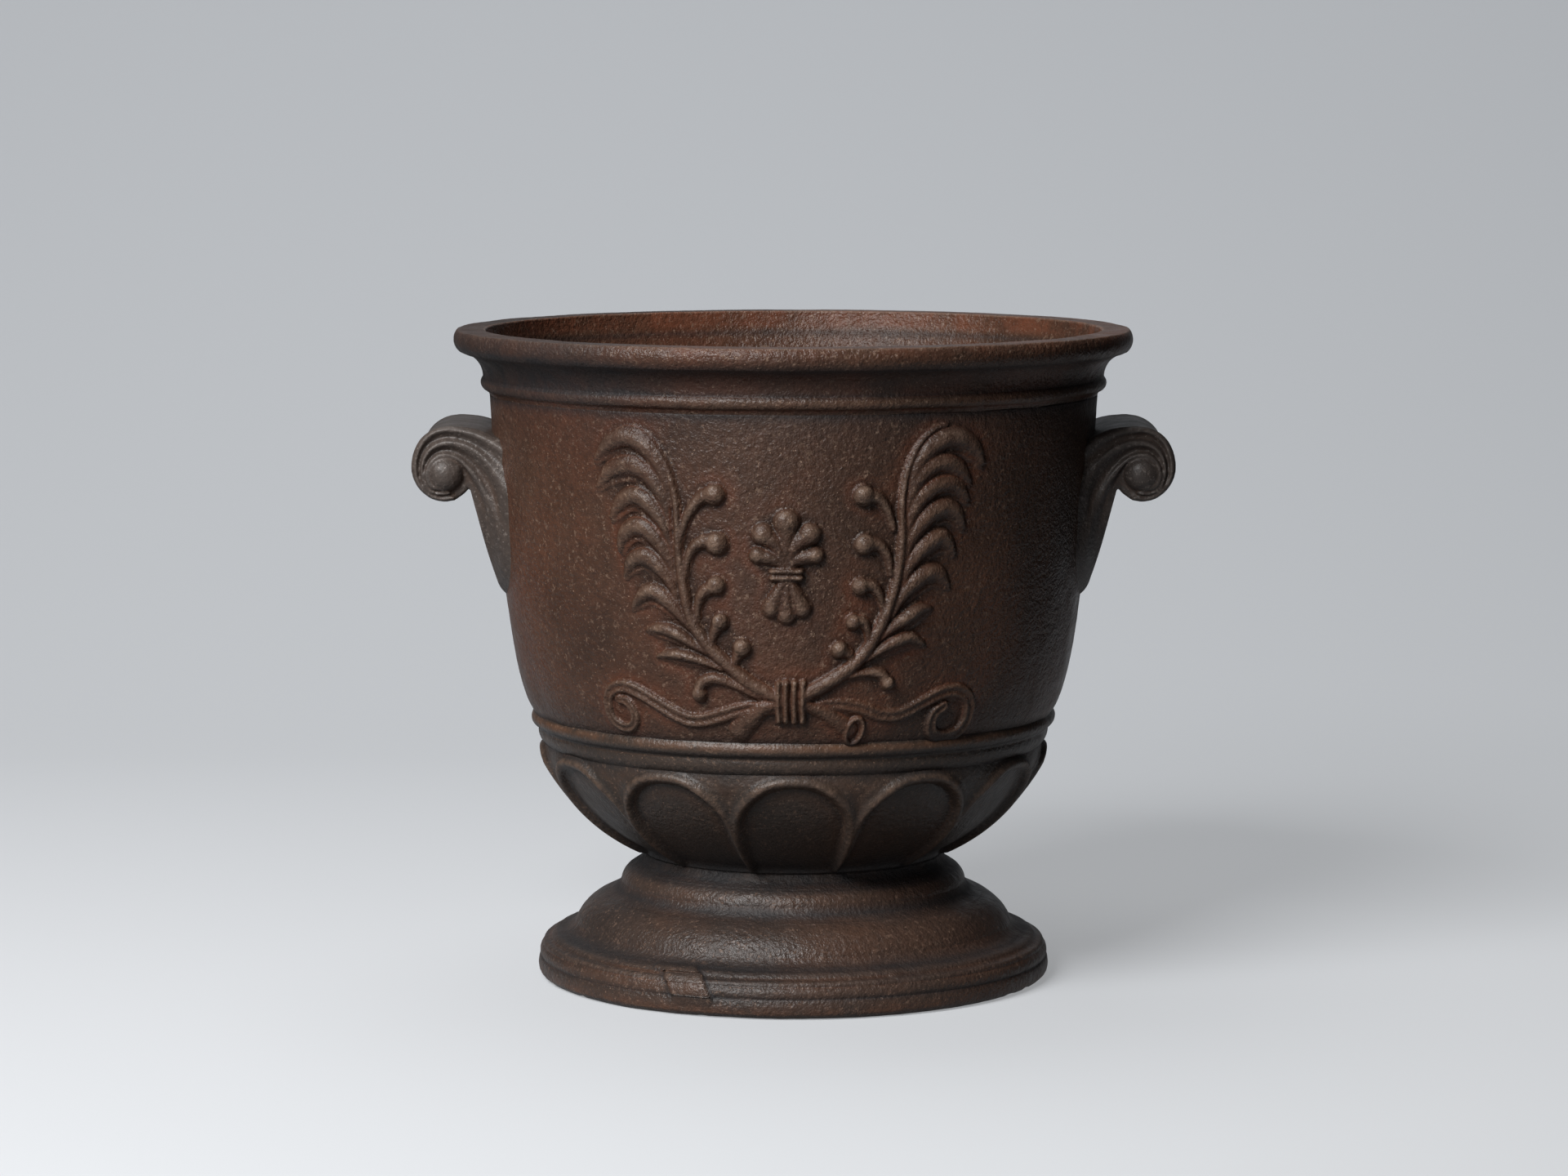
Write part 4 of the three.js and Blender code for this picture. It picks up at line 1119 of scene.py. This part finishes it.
def line_in_space(at_wall, at_eye, way):
    """One line of the front flank: even steps, standing out more where it spreads to the wall."""
    path = smooth_path(way, 0.5)
    share = np.linspace(0, 1, STATIONS)
    old = np.linspace(0, 1, len(path))
    near_wall = (1 - share) ** 3
    out = SCROLL_HALF_WIDTH + at_wall * near_wall + at_eye * (1 - near_wall)
    return np.stack([np.interp(share, old, path[:, 0]), -out, np.interp(share, old, path[:, 1])], axis=1)


def across_lines(lines):
    """Rounds the way across the flank from line to line."""
    held = np.concatenate([lines[:1], lines, lines[-1:]])
    rows = [curve_between(*held[i : i + 4], t) for i in range(len(held) - 3)
            for t in np.arange(STEPS_ACROSS) / STEPS_ACROSS]
    return np.array([*rows, held[-2]])


front_flank = across_lines(np.array([line_in_space(*entry) for entry in LINES]))
print("front flank", front_flank.shape)


# %% Skin of the handle
def strip(a, b, steps, sink):
    """Rows between the two flanks, slightly hollow in the middle."""
    share = np.linspace(0, 1, steps + 1)[1:-1]
    rows = np.array([a + (b - a) * s for s in share])
    inward = np.array([EYE_REACH, 0.0, EYE_LEVEL]) - a
    inward[:, 1] = 0
    inward /= np.maximum(np.linalg.norm(inward, axis=1), 1e-6)[:, None]
    return rows + sink * np.sin(np.pi * share)[:, None, None] ** 0.35 * inward


def handle_skin():
    """Both flanks, the under side and the top as one tube, closed at the wall and in the scroll."""
    back_flank = front_flank * np.array([1, -1, 1])
    under = strip(front_flank[-1], back_flank[-1], 20, 0.0)
    top = strip(back_flank[0], front_flank[0], 24, 1.0)
    rings = np.concatenate([front_flank, under, back_flank[::-1], top])
    around = rings.shape[0]
    grid = rings.transpose(1, 0, 2)
    faces = grid_faces(STATIONS, around, 0, closed=True)
    vertices = [*grid.reshape(-1, 3)]
    for station, turned in ((0, False), (STATIONS - 1, True)):
        vertices.append(grid[station].mean(axis=0))
        for k in range(around):
            a, b = station * around + k, station * around + (k + 1) % around
            faces.append([b, a, len(vertices) - 1] if not turned else [a, b, len(vertices) - 1])
    return np.array(vertices) * MM, faces


def turned_eye():
    """A ball at each end of a wider drum, which closes the scroll behind its ridges."""
    flat, angle = SCROLL_HALF_WIDTH - 1.5, even_angles(EYE_SIDES)
    turn = np.linspace(0, np.pi / 2, 14)
    ball_y, ball_r = flat + (EYE_HALF_LENGTH - flat) * np.cos(turn), EYE_RADIUS * np.sin(turn)
    drum_y, drum_r = [flat, flat - 1.5], [DRUM_RADIUS - 1.5, DRUM_RADIUS]
    half_y, half_r = np.concatenate([ball_y, drum_y]), np.concatenate([ball_r, drum_r])
    y = np.concatenate([-half_y, half_y[::-1]])
    r = np.concatenate([half_r, half_r[::-1]])
    r[0] = r[-1] = 0.05
    x = EYE_REACH + r[:, None] * np.cos(angle)
    z = EYE_LEVEL + r[:, None] * np.sin(angle)
    grid = np.stack([x, y[:, None] + 0 * x, z], axis=-1).reshape(-1, 3) * MM
    faces = grid_faces(len(y), EYE_SIDES, 0, closed=True, flip=True)
    last = (len(y) - 1) * EYE_SIDES
    return grid, faces + [list(range(EYE_SIDES)), [last + k for k in reversed(range(EYE_SIDES))]]


print("flank of", len(LINES), "lines,", STATIONS, "stations each")

# %% Casting the handle
SAND_FACE, SAND_ROUNDS, BED_DEPTH = 0.85 * MM, 13, 3.0


def handle_casting(name, side):
    """One handle in a single skin, with its back laid against the wall. side is 1 or -1."""
    skin, skin_faces = handle_skin()
    eye, eye_faces = turned_eye()
    first = len(skin)
    faces = skin_faces + [[v + first for v in face] for face in eye_faces]
    raw = mesh_object(name, np.vstack([skin, eye]), faces)
    body = raw.modifiers.new("sand", "REMESH")
    body.mode, body.voxel_size = "VOXEL", SAND_FACE
    soft = raw.modifiers.new("soft", "SMOOTH")
    soft.factor, soft.iterations = 0.5, SAND_ROUNDS
    mesh = bpy.data.meshes.new_from_object(raw.evaluated_get(bpy.context.evaluated_depsgraph_get()))
    raw.modifiers.clear()
    raw.data = mesh
    points = np.zeros(len(mesh.vertices) * 3)
    mesh.vertices.foreach_get("co", points)
    points = points.reshape(-1, 3) / MM
    # The back is sunk a little into the wall's rough surface.
    radius = np.hypot(points[:, 0], points[:, 1])
    bed = wall_radius(np.clip(points[:, 2], WALL_BOTTOM, WALL_END)) - BED_DEPTH
    grow_out = np.where(radius < bed, bed / np.maximum(radius, 1.0), 1.0)
    points[:, :2] *= grow_out[:, None]
    points[:, :2] *= side
    mesh.vertices.foreach_set("co", (points * MM).ravel())
    mesh.shade_smooth()
    mesh.update()
    return raw


def standing_from_neighbours(piece, rounds=26, gain=2.2):
    """How far each vertex stands above its smoothed surroundings, in mm."""
    mesh = piece.data
    count = len(mesh.vertices)
    place = np.zeros(count * 3)
    mesh.vertices.foreach_get("co", place)
    place = place.reshape(-1, 3) / MM
    face = np.zeros(count * 3)
    mesh.vertex_normals.foreach_get("vector", face)
    edges = np.zeros(len(mesh.edges) * 2, dtype=np.int64)
    mesh.edges.foreach_get("vertices", edges)
    a, b = edges[0::2], edges[1::2]
    degree = np.bincount(a, minlength=count) + np.bincount(b, minlength=count)
    soft = place.copy()
    for _ in range(rounds):
        total = np.stack([np.bincount(a, soft[b, k], count) + np.bincount(b, soft[a, k], count)
                          for k in range(3)], axis=1)
        soft = 0.5 * soft + 0.5 * total / degree[:, None]
    paint_values(piece, "standing", gain * ((place - soft) * face.reshape(-1, 3)).sum(axis=1))


handle_right = handle_casting("handle_right_casting", 1)
handle_left = handle_casting("handle_left_casting", -1)
for piece in (handle_right, handle_left):
    standing_from_neighbours(piece)
print("handle", len(handle_right.data.polygons), "faces")

# %% [markdown]
# ## Hidden fixings
#
# A bolt down the middle ties the bowl to the foot, and two screws from inside the bowl hold each
# handle. They are plain hexagon hardware. Each is a stack of round or hexagonal sections along its
# own axis, which needs fewer steps than cutting a hexagon out of a cylinder, and one function then
# makes them all. Another one does the same for nuts and washers, which have a bore.


# %% Hexagon hardware
def hexagon_share(angle):
    """How much further out a hexagon lies than the circle inside it."""
    return 1.0 / np.cos((angle + np.pi / 6) % (np.pi / 3) - np.pi / 6)


def as_hardware(name, points, faces, along):
    """A mesh laid along its axis, with crisp corners."""
    made = mesh_object(name, along(points.reshape(-1, 3)) * MM, faces)
    made.data.set_sharp_from_angle(angle=math.radians(35))
    return made


def stacked(name, sections, along, sides=48):
    """A solid of sections (place along the axis, size across, hexagon or not) in mm."""
    angle = even_angles(sides)
    rows = []
    for place, across, is_hexagon in sections:
        r = across / 2 * (hexagon_share(angle) if is_hexagon else np.ones(sides))
        rows.append(np.stack([r * np.cos(angle), r * np.sin(angle), np.full(sides, place)], axis=1))
    faces = grid_faces(len(sections), sides, 0, closed=True)
    last = (len(sections) - 1) * sides
    faces += [list(range(sides))[::-1], [last + k for k in range(sides)]]
    return as_hardware(name, np.array(rows), faces, along)


def ring_stack(name, outer, bore, low, high, is_hexagon, along, sides=48):
    """A washer or nut: an outer outline, slightly chamfered, with a round bore."""
    angle = even_angles(sides)
    shape = hexagon_share(angle) if is_hexagon else np.ones(sides)
    edge = 0.05 * outer if is_hexagon else 0.02 * outer
    face = outer / 2 * np.minimum(shape, 1.03) - edge * 0.3
    inside = bore / 2 * np.ones(sides)
    rows = [(face, low), (outer / 2 * shape, low + edge), (outer / 2 * shape, high - edge), (face, high),
            (inside, high), (inside, low)]
    grid = np.array([np.stack([r * np.cos(angle), r * np.sin(angle), np.full(sides, z)], axis=1)
                     for r, z in rows])
    faces = grid_faces(len(rows), sides, 0, closed=True)
    last = (len(rows) - 1) * sides
    faces += [[last + k, last + (k + 1) % sides, (k + 1) % sides, k] for k in range(sides)]
    return as_hardware(name, grid, faces, along)


print("hexagon corners stand out by", round(float(hexagon_share(np.pi / 6)), 3))


# %% Tie bolt
def upright(points):
    return points


TIE_SHANK, TIE_ACROSS, TIE_WASHER, WASHER_THICKNESS = 12.0, 19.0, 32.0, 3.0
NUT_TOP, HEAD_BOTTOM = PLATE_UNDERSIDE - WASHER_THICKNESS, FLOOR_TOP + WASHER_THICKNESS
tie_bolt = stacked("tie_bolt_steel", [(51.0, 10.4, False), (52.0, TIE_SHANK, False),
                                      (HEAD_BOTTOM, TIE_SHANK, False), (HEAD_BOTTOM, TIE_ACROSS, True),
                                      (99.4, TIE_ACROSS, True), (100.5, 17.6, False)], upright)
tie_nut = ring_stack("tie_nut_steel", TIE_ACROSS, TIE_SHANK + 0.5, NUT_TOP - 10.0, NUT_TOP, True, upright)
fixings = [(tie_bolt, "tie_bolt"), (tie_nut, "tie_nut")]
for place, low, high in (("bowl", FLOOR_TOP, HEAD_BOTTOM), ("foot", NUT_TOP, PLATE_UNDERSIDE)):
    washer = ring_stack(f"tie_washer_{place}_steel", TIE_WASHER, TIE_SHANK + 1.0, low, high, False, upright)
    fixings.append((washer, f"tie_washer_{place}"))
print("tie bolt and", len(fixings) - 1, "pieces on it")

# %% Screws of the handles, and the flat pads inside the wall that their washers sit on
SCREW_SHANK, SCREW_ACROSS, SCREW_HEAD, SCREW_WASHER, SCREW_WASHER_THICKNESS = 8.0, 13.0, 5.5, 18.0, 2.0
PAD_ACROSS, PAD_RISE = 26.0, 3.0
SCREWS = [("upper", 341.0, 20.0), ("lower", 300.0, 8.0)]  # level, and reach into the handle
for side_name, side_sign in (("right", 1), ("left", -1)):
    for place, level, reach in SCREWS:
        wall = float(wall_radius(level))
        pad = wall - WALL_THICKNESS - PAD_RISE
        base = pad - SCREW_WASHER_THICKNESS

        def lay(points, sign=side_sign, level=level):
            return np.stack([points[:, 2] * sign, points[:, 0] * sign, points[:, 1] + level], axis=1)

        screw = stacked(f"handle_screw_{side_name}_{place}_steel",
                        [(base - SCREW_HEAD, 12.0, False), (base - 4.8, SCREW_ACROSS, True),
                         (base, SCREW_ACROSS, True), (base, SCREW_SHANK, False),
                         (wall + reach - 1, SCREW_SHANK, False), (wall + reach, 6.6, False)], lay)
        washer = ring_stack(f"handle_washer_{side_name}_{place}_steel", SCREW_WASHER, SCREW_SHANK + 1.0,
                            base, pad, False, lay)
        boss = stacked(f"screw_pad_{side_name}_{place}", [(pad, PAD_ACROSS - 1.0, False),
                                                         (pad + 0.8, PAD_ACROSS, False),
                                                         (wall - 4.0, PAD_ACROSS, False)], lay)
        fixings += [(screw, f"handle_screw_{side_name}_{place}"),
                    (washer, f"handle_washer_{side_name}_{place}"), (boss, "bowl")]
print(len(fixings), "fixings and pads")

# %% [markdown]
# ## Floor and backdrop
#
# The urn stood on a sweep of pale paper: flat in front, and rising in a curve behind it, so that no
# line shows where floor and backdrop meet. Here too it is one sheet, made from its side view.
#
# More light on the paper would also fall on the urn. So the paper glows a little by itself, but only
# to the camera and in reflections, and it keeps the urn's shadow. Reflections see it no further
# than a pool round the urn, since pale paper on all sides would veil the dark iron.

# %% Sweep
SWEEP_START, SWEEP_RADIUS, SWEEP_TOP = 0.95, 1.5, 4.0
SWEEP_HALF_WIDTH, SWEEP_FRONT = 7.0, -7.0
turns = np.linspace(0, np.pi / 2, 24)
side_view = [(SWEEP_FRONT, 0.0), (-3.0, 0.0)]
side_view += [(SWEEP_START + SWEEP_RADIUS * math.sin(t), SWEEP_RADIUS * (1 - math.cos(t))) for t in turns]
side_view.append((SWEEP_START + SWEEP_RADIUS, SWEEP_TOP))
sweep_points = [(x, y, z) for y, z in side_view for x in (-SWEEP_HALF_WIDTH, SWEEP_HALF_WIDTH)]
sweep_faces = [[2 * k, 2 * k + 1, 2 * k + 3, 2 * k + 2] for k in range(len(side_view) - 1)]
sweep = mesh_object("sweep", sweep_points, sweep_faces)
print("sweep", len(sweep.data.polygons), "faces")

# %% What rays see of the paper
PAPER_COLOUR, DULL_PAPER = (0.385, 0.395, 0.41), (0.055, 0.056, 0.060)
GLOW_FRONT, GLOW_BACK = -1.2, 2.4  # from the near floor to the top of what is seen of the sweep
GLOW = [(0.0, (0.245, 0.25, 0.252)), (0.33, (0.29, 0.296, 0.304)), (0.6, (0.278, 0.288, 0.300)),
        (1.0, (0.225, 0.237, 0.252))]
POOL_SHARE, POOL_SIDE, POOL_FRONT = 0.5, (0.85, 1.15), (-1.2, -0.8)  # strength, and edges in metres
paper, paper_tree = shader("paper")
light_path = paper_tree.nodes.new("ShaderNodeLightPath").outputs
object_place = paper_tree.nodes.new("ShaderNodeTexCoord").outputs["Object"]
split = add_node(paper_tree, "ShaderNodeSeparateXYZ", Vector=object_place)
depth = split.outputs["Y"]
aside = calculate(paper_tree, "ABSOLUTE", split.outputs["X"], 0.0)
pool = calculate(paper_tree, "MULTIPLY", ranged(paper_tree, aside, *POOL_SIDE, POOL_SHARE, 0.0),
                 ranged(paper_tree, depth, *POOL_FRONT))
mirrored = calculate(paper_tree, "MAXIMUM", light_path["Is Glossy Ray"], light_path["Is Transmission Ray"])
mirrored = calculate(paper_tree, "MULTIPLY", mirrored, pool)
seen = calculate(paper_tree, "MAXIMUM", light_path["Is Camera Ray"], mirrored)
print("reflections see the paper up to", POOL_SIDE[1], "m aside")

# %% Glow and colour of the paper
ramp = paper_tree.nodes.new("ShaderNodeValToRGB")
for k, (stop, tint) in enumerate(GLOW):
    mark = ramp.color_ramp.elements[k] if k < 2 else ramp.color_ramp.elements.new(stop)
    mark.position = stop
    mark.color = (*tint, 1.0)
paper_tree.links.new(ranged(paper_tree, depth, GLOW_FRONT, GLOW_BACK), ramp.inputs[0])
glowing = add_node(paper_tree, "ShaderNodeEmission", Color=ramp.outputs[0], Strength=seen)
matt = add_node(paper_tree, "ShaderNodeBsdfDiffuse", Color=blend(paper_tree, seen, DULL_PAPER, PAPER_COLOUR))
both = paper_tree.nodes.new("ShaderNodeAddShader")
paper_tree.links.new(glowing.outputs[0], both.inputs[0])
paper_tree.links.new(matt.outputs[0], both.inputs[1])
add_node(paper_tree, "ShaderNodeOutputMaterial", Surface=both.outputs[0])
sweep.data.materials.append(paper)
print("paper glows with", len(GLOW), "stops")

# %% [markdown]
# ## Handing over
#
# Each piece gets its iron, and the CAD node that it stands for is hidden. The urn doesn't move, so
# all ride on one body. The CAD's own solids stay hidden under the pieces, with the same materials.


# %% Iron and place for every piece
def settle(piece, material, node):
    piece.data.materials.clear()
    piece.data.materials.append(material)
    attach(piece, "root")
    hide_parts(node)


for piece in (wall_front, wall_back, rim):
    settle(piece, bowl_iron, "bowl")
for piece in (beads, cup, plate):
    settle(piece, cup_iron, "bowl")
settle(foot, foot_iron, "foot")
settle(handle_right, handle_iron, "handle_right")
settle(handle_left, handle_iron, "handle_left")
for piece, node in fixings:
    if node == "bowl":
        settle(piece, bowl_iron, node)
    else:
        settle(piece, fixing_steel, node)

castings = {"bowl": bowl_iron, "foot": foot_iron, "handle_right": handle_iron, "handle_left": handle_iron}
for node_name, node_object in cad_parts.items():
    node_object.data.materials.clear()
    node_object.data.materials.append(castings.get(node_name, fixing_steel))
